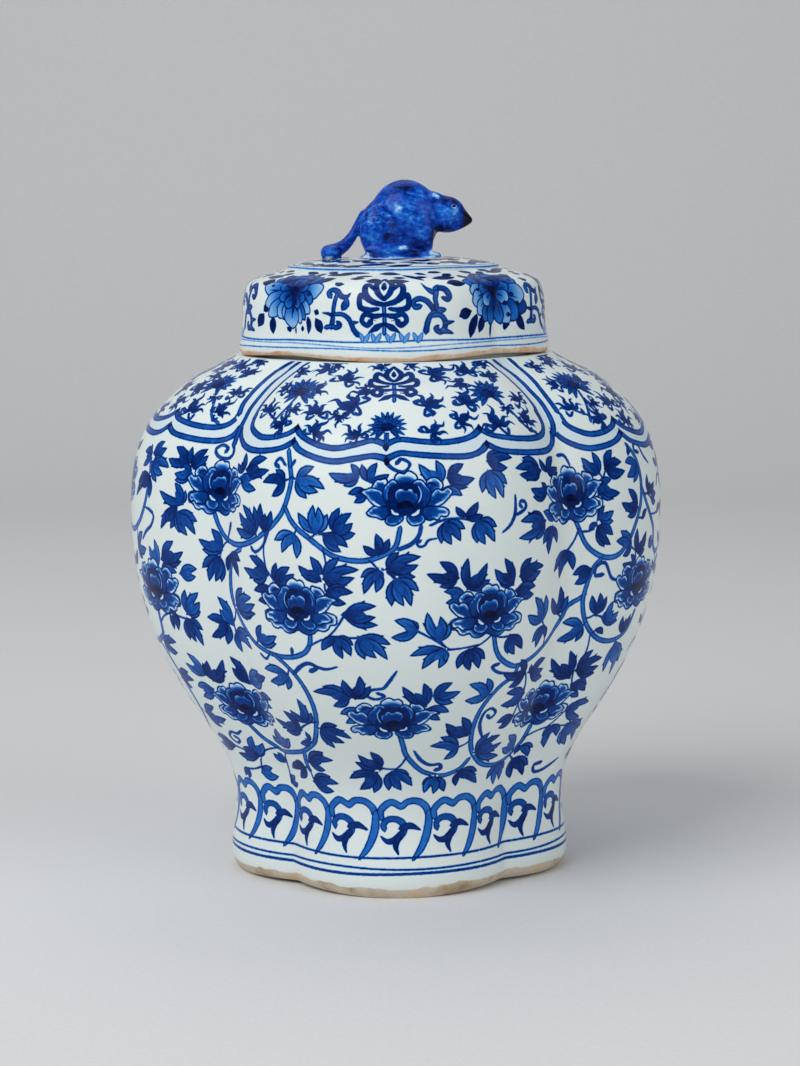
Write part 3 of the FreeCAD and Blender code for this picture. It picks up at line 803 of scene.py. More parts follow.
def leaf(places):
    """One leaf: broad pointed lobes from its base to each of its tips, and a wash over the roots.

    A long lobe has a tooth on the side that faces away from the leaf's middle.
    """
    vein_edge, edge_width, pale, deep = 1.88, 0.95, 0.40, 0.74
    shortened, tooth_from = 0.91, 8.5
    lobe_widths = np.array([0.4, 0.74, 0.98, 1.08, 1.02, 0.84, 0.54, 0.1])
    tooth_widths, wash_widths = np.array([0.5, 0.62, 0.45, 0.1]), np.array([0.62, 0.95, 1.0, 0.6])
    p = np.array(places, float).reshape(-1, 2)
    degree = jar_degree(p[0, 1])
    tips = (p[1:] - p[0]) * (degree, 1) * shortened
    mean = tips.mean(0)
    tone = rng.uniform(-0.13, 0.13)
    out = []

    def lay(points, half, ink, fade=(0.3, 0.3), cross=0.0):
        out.append(line_stroke(np.array(points) / (degree, 1) + p[0], half, ink, fade, cross))

    for tip in sorted(tips, key=lambda t: -abs(t[0] * mean[1] - t[1] * mean[0])):
        length = np.hypot(*tip)
        turn = np.sign(mean[0] * tip[1] - mean[1] * tip[0]) if len(tips) > 1 else rng.choice([-1, 1])
        across = turn * np.array([-tip[1], tip[0]])
        half = np.clip(0.155 * length + 0.7, 1.4, 2.7)
        light = pale + tone + rng.uniform(-0.10, 0.10)
        if length > tooth_from:
            lay([tip * 0.30, tip * 0.52 + across * 0.13, tip * 0.74 + across * 0.25], half * tooth_widths,
                (vein_edge - 1, edge_width, light, light + 0.1))
        lay([(0, 0), tip * 0.5 + across * 0.10, tip], half * lobe_widths,
            (vein_edge, edge_width, light, deep + tone), (0.05, 0.75), rng.uniform(0.05, 0.4) * turn)
    wash = deep + tone - 0.04
    lay([(0, 0), mean * 0.3, mean * 0.62], wash_widths * np.hypot(*mean) * 0.20,
        (wash, edge_width, wash - 0.12, wash + 0.04), (0.0, 1.0))
    return out


# Leaves: the base, then the tips, in degrees from the front and mm up the curve
leaves = [
    (-38.3, 256, -38.3, 268, -41, 261), (-36.4, 258, -29.7, 266, -28.3, 259, -32, 254),
    (-38.5, 253, -32, 247, -34, 252), (-24.3, 254, -31, 252, -27.4, 260, -27.8, 244),
    (-21.2, 255, -17, 263, -13.9, 250, -18.3, 244, -15.5, 248),
    (-7.6, 257, -14.5, 259, -9.3, 265, -10.8, 252), (-5.1, 255, -7, 265, -3.5, 266, -0.8, 259),
    (-5.7, 249, -9.9, 248, -8.5, 243), (-16.4, 227, -21, 238, -17.2, 243, -15.9, 242, -13.7, 238),
    (-12.6, 227, -11.2, 242, -8.5, 239, -8.2, 233, -7.6, 227), (-14.7, 226, -9.1, 219, -10.7, 216),
    (-3.5, 216, -6.8, 221, -3.9, 228, -1, 225), (-32.6, 224, -38.9, 235, -37.4, 240, -33, 240, -40.3, 225),
    (-29.7, 226, -31, 242, -27.4, 238), (-21.6, 225, -27.2, 221, -25.1, 214, -21, 211),
    (-29.3, 202, -35.3, 212, -37.8, 204, -34.3, 197), (-27.4, 192, -34.5, 192, -33.2, 186),
    (-26.8, 198, -26.4, 210, -22.6, 208, -21.4, 204, -21.8, 199),
    (-15.8, 201, -18, 215, -21.2, 209, -19, 204), (-14.7, 202, -11.2, 215, -6.8, 208, -7.8, 203, -10, 197),
    (-14.5, 193, -10, 199, -8.3, 195, -10, 188), (-3.5, 207, -7.4, 203, -6.8, 193, -4.1, 194, -2.6, 202),
    (-42, 181, -38.2, 193, -34.7, 188, -33.5, 184, -33.7, 178, -35.5, 175),
    (-10.8, 182, -3.5, 188, -3.7, 181, -3.2, 176), (9.5, 254, 4.5, 265, 8.6, 267, 5.3, 259),
    (11.1, 256, 14.9, 264, 17.4, 255, 15.5, 250), (9.9, 250, 14.3, 246),
    (20.3, 258, 18.2, 246, 21.7, 242, 23.8, 242, 25.1, 250), (20.5, 264, 23, 270, 27.6, 265, 25.7, 259),
    (35.1, 256, 29.5, 265, 26.8, 259, 27.8, 255, 30.7, 252),
    (38, 255, 35.5, 263, 41.8, 263, 43.2, 256, 43, 253), (36.8, 244, 30.9, 247, 31.5, 242, 34.9, 250),
    (14.5, 235, 12.2, 241, 17.6, 243, 18.8, 235), (10.1, 232, 9.2, 220, 11.5, 219, 13.6, 221, 14.7, 228),
    (17.2, 232, 17, 219, 19, 218, 21.5, 219, 22, 228),
    (35.5, 228, 27.2, 230, 29.5, 233, 26.7, 220, 32.2, 218), (38.8, 228, 34.9, 234),
    (38.8, 224, 34.7, 215, 37, 208, 40.9, 214), (-1.6, 208, 0.9, 218, 5.7, 215, 5.1, 210, 4.5, 203),
    (0, 202, -1, 186, 1.7, 186, 3.4, 186, 5.1, 195), (12.6, 202, 8.6, 212, 5.7, 205, 8.6, 197),
    (15.1, 196, 14.9, 214, 19.7, 210, 19.5, 205, 20.5, 200), (14.3, 192, 9.5, 195, 9.9, 188),
    (25.9, 196, 23.4, 212, 20.7, 206, 21.8, 199), (28.2, 200, 31.5, 210, 36.1, 204, 35.1, 201, 33, 196),
    (27.2, 192, 33.4, 193, 33, 188), (36.8, 172, 32.8, 188, 37.2, 188, 30.7, 177),
    (4.3, 173, -0.8, 180, 2.8, 180, -1.6, 169), (9.2, 167, 6.1, 185, 9.2, 182, 11.5, 178),
    (-34.9, 163, -27.8, 167, -28.3, 162, -32.8, 173),
    (-12.8, 169, -17, 160, -11.8, 155, -9.7, 157, -8.9, 164),
    (-7.8, 169, -6.8, 155, -4.1, 156, -1.4, 155, -0.7, 165),
    (-27.4, 143, -35.8, 145, -34.7, 136, -28.5, 132), (-42, 138, -35.5, 139),
    (-42, 124, -36.2, 123, -37.6, 116), (-25.5, 111, -26.2, 129, -30.5, 119, -22.6, 119),
    (-28.5, 105, -33.3, 118, -39.3, 110, -35.5, 101), (-26.4, 97, -31, 93, -27, 104),
    (-21, 107, -15.5, 111, -11.8, 101, -14.3, 97, -18, 92),
    (-11.6, 131, -21.4, 134, -17.8, 139, -16.2, 124), (-9.9, 131, -12.8, 144, -8.2, 147, -5.7, 140),
    (-8.7, 122, -14.9, 119, -13.7, 112), (-5.3, 80, -8, 93, -12.2, 90, -13.5, 84),
    (-6.8, 76, -16.4, 71, -13, 63, -8, 61), (-1.6, 77, -3.2, 63, 1.1, 63, 4.9, 66, 3.8, 75),
    (-29.7, 80, -22.2, 90, -19.3, 84, -23.5, 75), (-30, 66, -22, 72, -19.1, 67, -21.6, 61),
    (-33, 75, -42, 72, -37.8, 66, -37.4, 79), (-42, 88, -34.9, 96, -41.2, 102),
    (10.3, 161, 2.2, 158, 5.1, 149, 9.2, 149, 10.7, 153),
    (16.1, 160, 13.4, 148, 16.8, 146, 19.3, 147, 20.7, 153), (26.5, 166, 26.5, 154, 28.8, 153, 31.3, 156),
    (38, 168, 33.8, 159, 35.7, 155, 39.5, 160), (33.8, 140, 25.5, 143, 31.1, 151, 28.8, 132),
    (36.5, 140, 35.9, 146, 42.5, 148, 43, 140, 43.8, 134), (6.7, 126, 6.1, 142, 0.7, 140, 2, 134),
    (8.8, 132, 13.2, 141, 15.7, 134, 14, 126), (23, 130, 16.7, 139, 21.8, 142, 16.1, 127),
    (7.4, 123, 13.4, 120, 11.1, 114), (35.9, 126, 28.4, 129, 27.4, 120, 31.1, 118),
    (19.2, 102, 16.5, 117, 11.8, 113, 12.2, 108), (17.2, 93, 11.1, 103, 8.2, 96, 13.4, 84),
    (34.5, 110, 28, 108, 29.5, 103), (24.2, 88, 27.4, 103, 32.6, 99, 34.9, 92, 35.7, 81),
    (43, 84, 35.9, 97, 34.9, 87), (11.5, 72, 7.2, 67, 8, 61, 11.5, 60, 15.5, 61),
    (19.5, 74, 27.4, 73, 28.4, 64, 19.2, 64), (36.8, 75, 31.8, 65, 41.8, 70, 36.8, 60, 40.5, 62),
    (-63.8, 172, -65.6, 160, -63.7, 160, -62.3, 164),
    (-59.2, 169, -60.2, 155, -58, 154, -55.8, 152, -54.4, 163),
    (-47.3, 169, -53, 159, -48.5, 155, -53, 172), (-44.6, 164, -38, 164, -38, 155, -44, 151),
    (-74.2, 150, -66.2, 153, -73.5, 142, -67.7, 145), (-60, 134, -64, 148, -67, 140, -63, 137),
    (-57.5, 131, -59, 143, -56.9, 145, -50.8, 147, -51.5, 141, -52.3, 136),
    (-45.8, 132, -49.2, 150, -49.6, 142), (-44.6, 132, -38.3, 143, -38, 134),
    (-45, 123, -38, 121, -40, 117), (-73.8, 127, -66.9, 134, -65.8, 128, -69.6, 121),
    (-59.6, 124, -66.5, 124, -66.5, 116), (-70.8, 103, -63.3, 111, -60.4, 102, -65.8, 94),
    (-42.3, 88, -41.2, 102, -45.6, 95, -38, 96), (-56.9, 78, -53.8, 93, -50.4, 88, -51, 84),
    (-66.2, 82, -76, 86, -78, 80), (-56, 77, -67, 76, -62, 82), (-57.3, 65, -49.6, 64, -51.2, 70),
    (-64.5, 66, -68.5, 60, -66.5, 59), (-45, 75, -49, 81, -47, 82), (-45, 61, -41, 67, -40, 62),
    (-70.4, 262, -66.9, 270, -65, 266), (-69.6, 257, -62, 255, -66.5, 245, -64.2, 250, -66.5, 261),
    (-71.5, 262, -75, 253, -76, 262), (-70, 248, -76.7, 245, -78, 235, -69.6, 235),
    (-57.3, 259, -62.5, 268, -64.2, 260, -59.2, 267, -60, 256),
    (-55.4, 257, -56.9, 269, -51.7, 268, -51, 264, -51, 259),
    (-55.2, 253, -60.8, 252, -60.4, 248, -58.5, 258), (-57, 236, -65.8, 242, -60, 248, -56.2, 244),
    (-59, 233, -65, 219, -63, 223, -61.2, 220), (-58.5, 230, -58, 218, -55.4, 217, -52.7, 218, -52.1, 226),
    (-46.2, 212, -49, 224, -52.9, 217, -51.9, 211),
    (-46.9, 207, -52.3, 200, -50.6, 192, -48.7, 192, -46.9, 192),
    (-43, 209, -38, 207, -44.6, 199, -39.2, 197), (-77, 206, -73, 217, -71.3, 207, -74.2, 200),
    (-66.9, 198, -67.5, 215, -70.4, 210), (-64.6, 203, -59.8, 215, -56.5, 209, -57.3, 203),
    (-65.2, 197, -59.4, 196, -60.8, 191, -62, 200),
    (-58.5, 173, -57.9, 188, -53.5, 187, -53.5, 181, -53.8, 175), (-45.4, 169, -48.8, 186, -48.8, 178),
    (-63.5, 176, -64.6, 167, -66, 169), (-58.5, 196, -53, 200, -53.6, 195),
    (52.2, 164, 45.7, 168, 44.9, 156, 51.1, 154), (58, 168, 64.5, 164, 61, 170), (57, 161, 60, 157),
    (67.6, 156, 66, 167, 68, 165, 70.1, 167), (53, 132, 50.3, 151, 44.5, 147, 46.5, 139),
    (54.9, 136, 58.4, 149, 63.6, 142, 63.6, 136, 63, 131), (55.3, 126, 61.8, 124, 62.6, 119, 60.7, 115),
    (66.5, 149, 73.4, 134, 71.7, 125, 66.3, 129), (58, 108, 62.2, 111, 68.4, 110, 68, 98),
    (55.7, 97, 53.4, 89, 57.2, 79, 61, 87), (62.6, 95, 73.8, 90, 74.2, 79, 69.9, 77, 64.9, 79),
    (47, 84, 52.6, 82, 52.2, 75, 45.3, 78), (45.7, 75, 54, 69, 53, 62, 47.2, 61),
    (54.9, 251, 50.5, 261, 50.3, 256, 54.3, 264), (57.2, 253, 61, 264, 63.4, 256, 64.1, 250, 62, 247),
    (68.4, 254, 63.8, 255, 66.1, 242, 63.6, 246), (66, 259, 67, 265),
    (54.2, 243, 61.5, 238, 59, 235, 58.8, 247), (54.2, 226, 55.9, 233, 59, 229, 58.8, 223),
    (53.4, 223, 51, 219), (67.2, 229, 63.6, 241, 60.7, 233, 63, 224),
    (53.8, 221, 56, 208, 58, 209, 58.8, 215), (64.9, 207, 60.5, 218, 59, 212, 61.8, 202),
    (67.2, 196, 61.7, 198, 62.8, 193, 64.9, 203), (68, 203, 67.2, 218, 72, 215, 71.5, 204),
    (73, 236, 73, 247, 77.6, 241), (74.5, 232, 78.5, 234, 78, 229), (69.5, 222, 72, 227),
    (73.5, 205, 75.5, 211, 76.5, 207), (45.3, 209, 39.3, 198, 42.2, 193, 47.6, 197),
    (52.2, 197, 47, 195, 47.8, 189), (43.8, 174, 39.5, 185, 43.6, 191, 47, 184),
    (56, 171, 53.2, 183, 55.9, 184, 58.4, 181), (60, 165, 60.9, 178, 64, 170),
    (80, 262, 77, 268, 84, 270, 86, 262), (83, 250, 79, 254, 86, 257, 88, 247),
    (82, 226, 78, 222, 84, 217, 87, 224), (84, 205, 80, 212, 87, 216, 90, 207),
    (80, 190, 77, 196, 84, 198, 86, 190), (86, 180, 82, 173, 89, 170, 92, 177),
    (80, 158, 77, 164, 84, 167, 86, 159), (86, 140, 82, 147, 90, 149, 92, 141),
    (79, 128, 84, 132, 86, 124, 81, 118), (86, 108, 82, 116, 90, 118, 93, 110), (80, 98, 77, 104, 84, 106),
    (86, 88, 82, 94, 90, 96, 92, 88), (80, 72, 77, 65, 83, 62, 86, 69), (90, 75, 93, 68, 97, 73),
    (89.6, 214, 93.6, 222, 96, 215, 93.5, 208), (91.6, 189, 96.4, 193, 98, 186, 95, 182),
    (94.6, 170, 99.6, 175, 101, 168, 98.4, 163), (93, 160, 89, 166, 86.6, 160, 89.4, 154),
    (95, 262, 92, 268, 99, 268), (92, 235, 90, 241, 96, 243, 98, 235), (98, 196, 95, 203, 102, 205),
    (94, 130, 92, 136, 99, 138),
]

flowers = [(2, 242), (-46.5, 244), (46.5, 238), (92, 243), (-21.5, 183), (20.5, 180), (-69.6, 184),
           (70, 183), (-1, 113), (-50.5, 113.5), (46.8, 113), (90, 113)]
# Main stems, left to right over the half of the jar that faces the front
stems = [
    [(-24.3, 271), (-23.2, 261.5), (-22.6, 254), (-23.3, 245), (-24.7, 236.5), (-27.4, 229), (-30.8, 223),
     (-35, 218), (-39.7, 216), (-44, 218), (-46.5, 224), (-48, 232)],
    [(-23.9, 239.6), (-22.4, 233), (-20.5, 228), (-18.2, 224), (-15.5, 219), (-12.8, 214.6), (-9.3, 212.5),
     (-5.8, 212.5), (-2.4, 215.6), (0, 220), (1, 230)],
    [(-38, 214), (-41, 210), (-43, 202), (-43.8, 191), (-43.5, 183), (-41.8, 175), (-38.2, 164),
     (-35, 158.5), (-31, 155.4), (-27.4, 154.4), (-23.9, 155.4), (-20.8, 159), (-19.3, 165), (-19, 173)],
    [(-30.5, 155.4), (-27.4, 150), (-24.7, 143), (-22.8, 134.6), (-21.8, 126), (-21.6, 118), (-22.4, 108.5),
     (-24.3, 98), (-26.6, 93), (-30.5, 88), (-35, 85.6), (-39.7, 84), (-43, 83.5), (-46.5, 86.7),
     (-49.6, 92), (-52.3, 101)],
    [(-30.5, 87), (-31.4, 79), (-30.8, 73)],
    [(21.8, 169), (23, 158.5), (24.9, 152.3), (28, 147.6), (30.7, 146.6), (34.9, 149.7), (38.4, 154.4),
     (41.8, 160.6), (45.3, 170), (46.8, 177), (49.9, 181), (51.4, 183)],
    [(30.7, 146.6), (29.9, 140), (26.8, 135.6), (24.2, 129.4), (22.2, 122), (21.1, 114), (20.7, 105.4),
     (21.1, 97), (22.2, 90), (24.5, 83.5), (27.6, 78.3), (31.8, 75.7), (36.5, 75.7), (41.8, 79),
     (44.9, 83.5), (46.5, 90), (47, 100)],
    [(0.2, 108), (1.3, 98), (2.2, 90), (4.2, 83.5), (6.8, 77.8), (9.9, 74.7), (13.4, 73), (16.8, 74.2),
     (19.9, 77.3), (22.2, 83.5)],
    [(47.6, 226), (50.3, 212.5), (53.4, 206), (56.8, 203), (60.7, 204), (64.2, 211.5), (66.8, 221),
     (68.8, 231), (69.5, 242), (69.3, 252), (68.4, 259), (66.5, 265)],
    [(55.3, 203), (53, 198), (51.5, 188.5), (51, 179), (52.2, 169.5), (54.5, 161.7), (58, 155.4),
     (61.8, 152.3), (66, 152.3), (69.9, 156.5), (71.5, 168)],
    [(69.5, 240.6), (71.5, 231), (73.8, 223), (76, 214.6), (76.8, 204), (80, 200), (85, 205), (89, 216),
     (91.5, 230)],
    [(-72.7, 265.6), (-70.8, 256), (-70, 249), (-70.6, 240), (-72, 231), (-75, 222), (-80, 216), (-85, 219),
     (-88, 231)],
    [(91.8, 232), (90.4, 222), (89.2, 212), (89.6, 200), (91.8, 190), (94, 180), (94.8, 168), (93.6, 158),
     (94.6, 150)],
    [(-85, 150), (-80, 149), (-76, 152), (-72.3, 157), (-70.8, 172)],
    [(-78, 152), (-74, 135), (-73, 118), (-75, 100), (-82, 88), (-87, 89), (-89.5, 100)],
]
# Thin tendrils, each with the half-widths of its line
tendrils = [
    ([(-24.4, 262), (-26.2, 266), (-27.4, 263), (-26.3, 261)], (0.6, 0.7, 0.9, 1.1)),
    ([(-23.1, 261), (-22.2, 265)], (0.5, 1)),
    ([(-28.5, 226), (-30, 218), (-32.6, 213.5), (-34, 216)], (0.9, 0.7, 0.6, 0.9)),
    ([(-2.5, 268), (-0.6, 262), (1.8, 260), (3.2, 264), (1.5, 267), (0.4, 264.6)],
     (0.8, 0.9, 0.7, 0.6, 0.7, 1)),
    ([(23, 224.8), (25, 228.4), (26.2, 233.2), (26.6, 238.4), (26.6, 244.8)],
     (0.4, 0.8, 0.9, 0.8, 0.5)),
    ([(26.6, 233.6), (28.4, 235.2), (29.6, 237.6), (29.2, 240.4), (28, 240.8), (27.8, 238.8),
      (28.4, 237.6)], (0.6, 0.8, 0.8, 0.8, 0.8, 0.7, 1)),
    ([(0.6, 218.4), (3, 221), (4.6, 225.2), (5.2, 231)], (1, 1, 0.9, 0.9)),
    ([(8.4, 224), (6.6, 223), (5.9, 220.4), (4.9, 219.6), (4.2, 221.4), (5, 222.9)],
     (0.3, 0.5, 0.55, 0.55, 0.55, 0.8)),
    ([(7, 231), (10, 233.8), (13.6, 234), (16.2, 232)], (0.6, 0.55, 0.5, 0.45)),
    ([(-24.6, 156), (-24.4, 160)], (0.6, 1.1)),
    ([(-31.5, 156), (-33.4, 151.5), (-35.2, 154)], (0.5, 0.6, 0.8)),
    ([(-25.4, 144), (-22.8, 149.5), (-20.4, 152), (-18.6, 149.5), (-20.3, 147)], (0.9, 1, 0.9, 0.9, 1.2)),
    ([(-20.4, 152), (-16.5, 149), (-13.3, 151)], (0.7, 0.8, 0.3)),
    ([(0, 149), (-1.8, 142), (-3.2, 137.8), (-5.8, 136.6), (-7.3, 133.2), (-5.2, 130.4), (-2.9, 132.4),
      (-4.6, 134.6)], (0.4, 0.8, 0.8, 0.7, 0.7, 0.7, 0.7, 0.9)),
    ([(28.6, 142), (24.6, 144), (22.6, 148), (24.4, 149.4)], (0.5, 0.7, 0.7, 1)),
    ([(25.1, 97.6), (23.4, 104), (22.6, 110), (23.2, 117), (25.2, 119.6), (27, 116), (25.6, 112.4),
      (24.4, 114.8)], (0.4, 0.8, 0.9, 0.8, 0.7, 0.7, 0.7, 1)),
    ([(4.4, 93), (6.6, 85.4), (9.5, 81.4), (12.4, 81.6), (13, 78.4), (11.4, 77.4)],
     (0.4, 0.9, 0.9, 0.8, 0.9, 1.2)),
    ([(-73.4, 212), (-71.2, 217), (-68.6, 221), (-67.4, 226.5), (-68.8, 229.4), (-71.4, 230.8)],
     (0.5, 0.9, 0.8, 0.8, 0.9, 0.4)),
    ([(-45.2, 271), (-44.2, 266), (-45.6, 262.4), (-48.4, 263), (-49.8, 267), (-48.4, 270), (-46.6, 268.4),
      (-47, 266)], (0.8, 0.9, 0.8, 0.8, 0.8, 0.7, 0.8, 1)),
    ([(-43.4, 219.5), (-42.2, 227)], (0.5, 1)),
    ([(-57.2, 95), (-60, 92), (-62.6, 92.6), (-65, 88.4), (-62.8, 84.4), (-60.6, 87.4), (-62.4, 89.4)],
     (0.4, 0.8, 0.8, 0.7, 0.7, 0.7, 1)),
    ([(47.4, 256), (46.4, 262), (44, 262.4)], (0.5, 0.7, 0.9)),
    ([(75.2, 252), (73, 257), (71.8, 263.6), (69.8, 264.4), (69.2, 260.6), (70.9, 259.6)],
     (0.4, 0.8, 0.7, 0.7, 0.8, 1)),
    ([(62, 188.4), (58.8, 191), (56.4, 200), (53.9, 198.6), (53.6, 193.6), (56, 193.4)],
     (0.4, 0.8, 0.8, 0.8, 0.8, 1.1)),
    ([(69.6, 69.4), (62, 64.5), (57.4, 64), (56.2, 68.6), (59.4, 69.8)], (0.4, 0.9, 0.8, 0.8, 1.1)),
    ([(-82, 121), (-79, 124), (-79.6, 129), (-82.4, 128)], (0.4, 0.8, 0.8, 1)),
    ([(79, 238), (81.5, 244), (84.2, 242.5), (83, 239.6)], (0.5, 0.8, 0.8, 1.1)),
    ([(77, 140), (79.6, 147), (82.6, 146), (82, 142.6)], (0.5, 0.8, 0.8, 1.1)),
    ([(77, 108), (78.6, 115), (81.6, 114), (80.8, 110.6)], (0.5, 0.8, 0.8, 1.1)),
]


def tendril(points, half):
    """A tendril, cut where it turns back on itself, so that its turns stay apart."""
    fuller, turn_kept = 1.18, 2.0
    path = smooth_line(points)
    degree = jar_degree(path[:, 1].mean())
    heading = np.unwrap(np.arctan2(np.diff(path[:, 1]), np.diff(path[:, 0]) * degree))
    turned_by = np.concatenate([[0], np.cumsum(np.abs(np.diff(heading))), [0]])
    turned_by[-1] = turned_by[-2]
    part = (turned_by / turn_kept).astype(int)
    half = fuller * np.interp(np.linspace(0, 1, len(path)), np.linspace(0, 1, len(half)), half)
    out = []
    for number in range(part.max() + 1):
        kept = np.flatnonzero(part == number)
        if len(kept) and kept[-1] + 1 < len(path):
            kept = np.append(kept, kept[-1] + 1)
        if len(kept) > 1:
            out.append(line_stroke(path[kept], half[kept], smooth=False))
    return out


def nearest(place, lines):
    """How far the nearest of the lines is in mm, which line it is and where along it."""
    best = None
    for path in lines:
        gap = np.hypot(*((path - place) * (jar_degree(place[1]), 1)).T)
        i = gap.argmin()
        if best is None or gap[i] < best[0]:
            best = gap[i], path, i
    return best


def stalk(place, lines):
    """The thin stalk that joins a leaf's base to the nearest stem or stalk, if one is near."""
    close, distant = 1.5, 21
    gap, path, i = nearest(place, lines)
    if not close < gap < distant:
        return []
    back = path[max(0, min(len(path) - 1, i - int(gap * 0.55)))]
    middle = (back * 0.45 + np.array(place) * 0.55) * 0.8 + path[i] * 0.2
    lines.append(smooth_line([back, middle, place]))
    return [line_stroke([back, middle, place], (0.55, 0.5, 0.7))]


stem_lines = [smooth_line(points) for points in stems]
half_scroll = [line_stroke(points, (1.35, 1.5, 1.45, 1.5, 1.35), stem_ink) for points in stems]
for points, half in tendrils:
    half_scroll += tendril(points, half)
for place in sorted([places[:2] for places in leaves], key=lambda place: nearest(place, stem_lines)[0]):
    half_scroll += stalk(place, stem_lines)
for places in leaves:
    half_scroll += leaf(places)
unfrilled = 0, 8
for number, (azimuth, along) in enumerate(flowers):
    mirror, size = 1 if number % 3 else -1, 1.0 - 0.04 * (number % 2)
    half_scroll += flower(azimuth, along, mirror, size, number not in unfrilled)
scroll = half_scroll + turned(half_scroll, 180)

# Rows up the inside of the wall: radius, height, groove share, fillet, lift
lower_inside = [(89, 37, 0.86, 12.5, 0), (91.6, 59, 0.86, 15, 0), (108.3, 92, 0.862, 18, 0),
                (125.5, 121, 0.863, 21, 0), (137.6, 147.5, 0.864, 24, 0), (144.4, 174, 0.864, 27, 0),
                (146.8, 194, 0.864, 29.5, 0), (147.3, 212, 0.864, 31.5, 0)]
lower_along = np.linspace(jar_knots[waist], jar_knots[belly], 122)
lower_body = painted_piece("lower_body_painted", lower_inside[:1], lower_along, jar_rows(lower_along),
                           lower_inside[::-1], border + scroll, porcelain)
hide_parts("lower_body")
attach(lower_body, "jar")

# The upper body: the shoulder, drawn in to a ledge that carries the cover. A collar
# of double lines hangs over it in four scalloped panels, with flowers and sprigs
# inside, and the scroll of the lower body runs up to it.
collar_ink = (0.86, 0.8, 0.54, 0.54)
wash_ink = (0.04, 1, 0.04, 0.04)
collar_low = [
    [(-45.2, 288), (-44.6, 281), (-42.9, 275), (-39.6, 270.6), (-35.2, 269), (-29.8, 270), (-26, 272.4),
     (-23.5, 275.8)],
    [(-23.5, 275.8), (-21.3, 271), (-16.8, 267), (-12.7, 265.5), (-8.5, 267.2), (-4.6, 268.8),
     (-1.6, 267.2)],
    [(-1.6, 267.2), (1.1, 270.3), (4.3, 269.5), (10.2, 268), (15.6, 267.5), (18.9, 269.6), (21, 273.4)],
    [(21, 273.4), (24.3, 269.5), (29.3, 267.5), (35.6, 266.2), (40.5, 266.6), (43.6, 270), (45, 276)],
]
collar_high = [
    [(-40.3, 291), (-40.2, 287), (-39.6, 283), (-37.7, 280), (-33.9, 277.2), (-29.3, 278), (-25.6, 280.6),
     (-23.5, 284.2)],
    [(-23.5, 284.2), (-21.2, 279), (-16.8, 274.5), (-12.7, 273), (-8.5, 275.3), (-4.6, 277.8),
     (-1.8, 275.4)],
    [(-1.8, 275.4), (1, 278.3), (5.6, 277), (10.2, 276), (14.8, 277), (17.9, 279.4), (20, 283)],
    [(20, 283), (22.7, 279), (27.7, 276.3), (32.7, 274.8), (37.4, 274.6), (40.6, 276.6), (42.2, 281),
     (42.4, 286), (42.2, 291)],
]
collar = [line_stroke([(-42.7, 292), (-42.4, 286), (-40, 277), (-35, 273), (-29, 274), (-24, 279.6),
                       (-20, 272.6), (-13, 269.3), (-6.5, 272.8), (-1.5, 271.2), (3, 274), (10, 272),
                       (17, 273.4), (20.6, 278), (25, 273), (33, 271), (41, 271.6), (43.8, 278),
                       (43.8, 292)], 3.5, wash_ink)]
# The lines that run up each side of the gap between two panels, for the left gap and the right
gaps = [
    [([(-47.6, 290), (-48.4, 298), (-48.3, 306), (-48, 314), (-47.6, 322), (-47, 330), (-44.8, 336),
       (-41, 341), (-39.6, 344)], (1.6, 1.3, 1.3, 1.1, 0.9)),
     ([(-40.3, 289), (-40.5, 295), (-40.2, 301), (-39.4, 308), (-38.6, 314), (-37.6, 322), (-36.4, 330),
       (-34.4, 337), (-32, 341.6), (-31.4, 344)], (1.6, 1, 0.9, 0.8, 0.7)),
     ([(-45, 270), (-44.9, 280), (-44.7, 287), (-44.9, 294), (-44.6, 301), (-44, 309), (-43.4, 317),
       (-42, 325.6), (-40.4, 334), (-37, 341), (-36, 344)], (1.9, 1.5, 1.5, 1.3, 1.1))],
    [([(42.3, 289), (42.8, 294), (42.6, 299), (42, 306), (41, 313), (40.4, 320), (39.6, 328), (37.8, 336),
       (35.4, 341), (34.6, 344)], (1.6, 1, 0.8, 0.8, 0.7)),
     ([(49.7, 289), (49.6, 299), (49.8, 308), (50.2, 316), (50.4, 326), (50.2, 334), (48.6, 341),
       (48, 344)], (1.6, 1.4, 1.3, 1.2, 1)),
     ([(45.3, 275), (46, 278.5), (46.5, 282), (46.7, 290), (46.6, 299), (46, 306), (45.6, 315), (45, 324),
       (43.6, 332.4), (40.4, 340), (39.6, 344)], (1.9, 1.5, 1.5, 1.3, 1.1))],
]
for points in collar_low + collar_high:
    collar.append(line_stroke(points, (1.9, 1.6, 1.7, 1.75, 1.75, 1.6, 2.0), collar_ink, cross=0.2))
for azimuth, along in [(-23.5, 277), (-1.6, 266.4), (21, 274.4),
                       (-23.5, 285.4), (-1.8, 274.6), (20, 284.4)]:
    cusp = [(azimuth, along - 1.5), (azimuth, along + 1.0)]
    collar.append(line_stroke(cusp, (1.9, 0.9), (0.95, 0.5, 0.95, 0.95)))


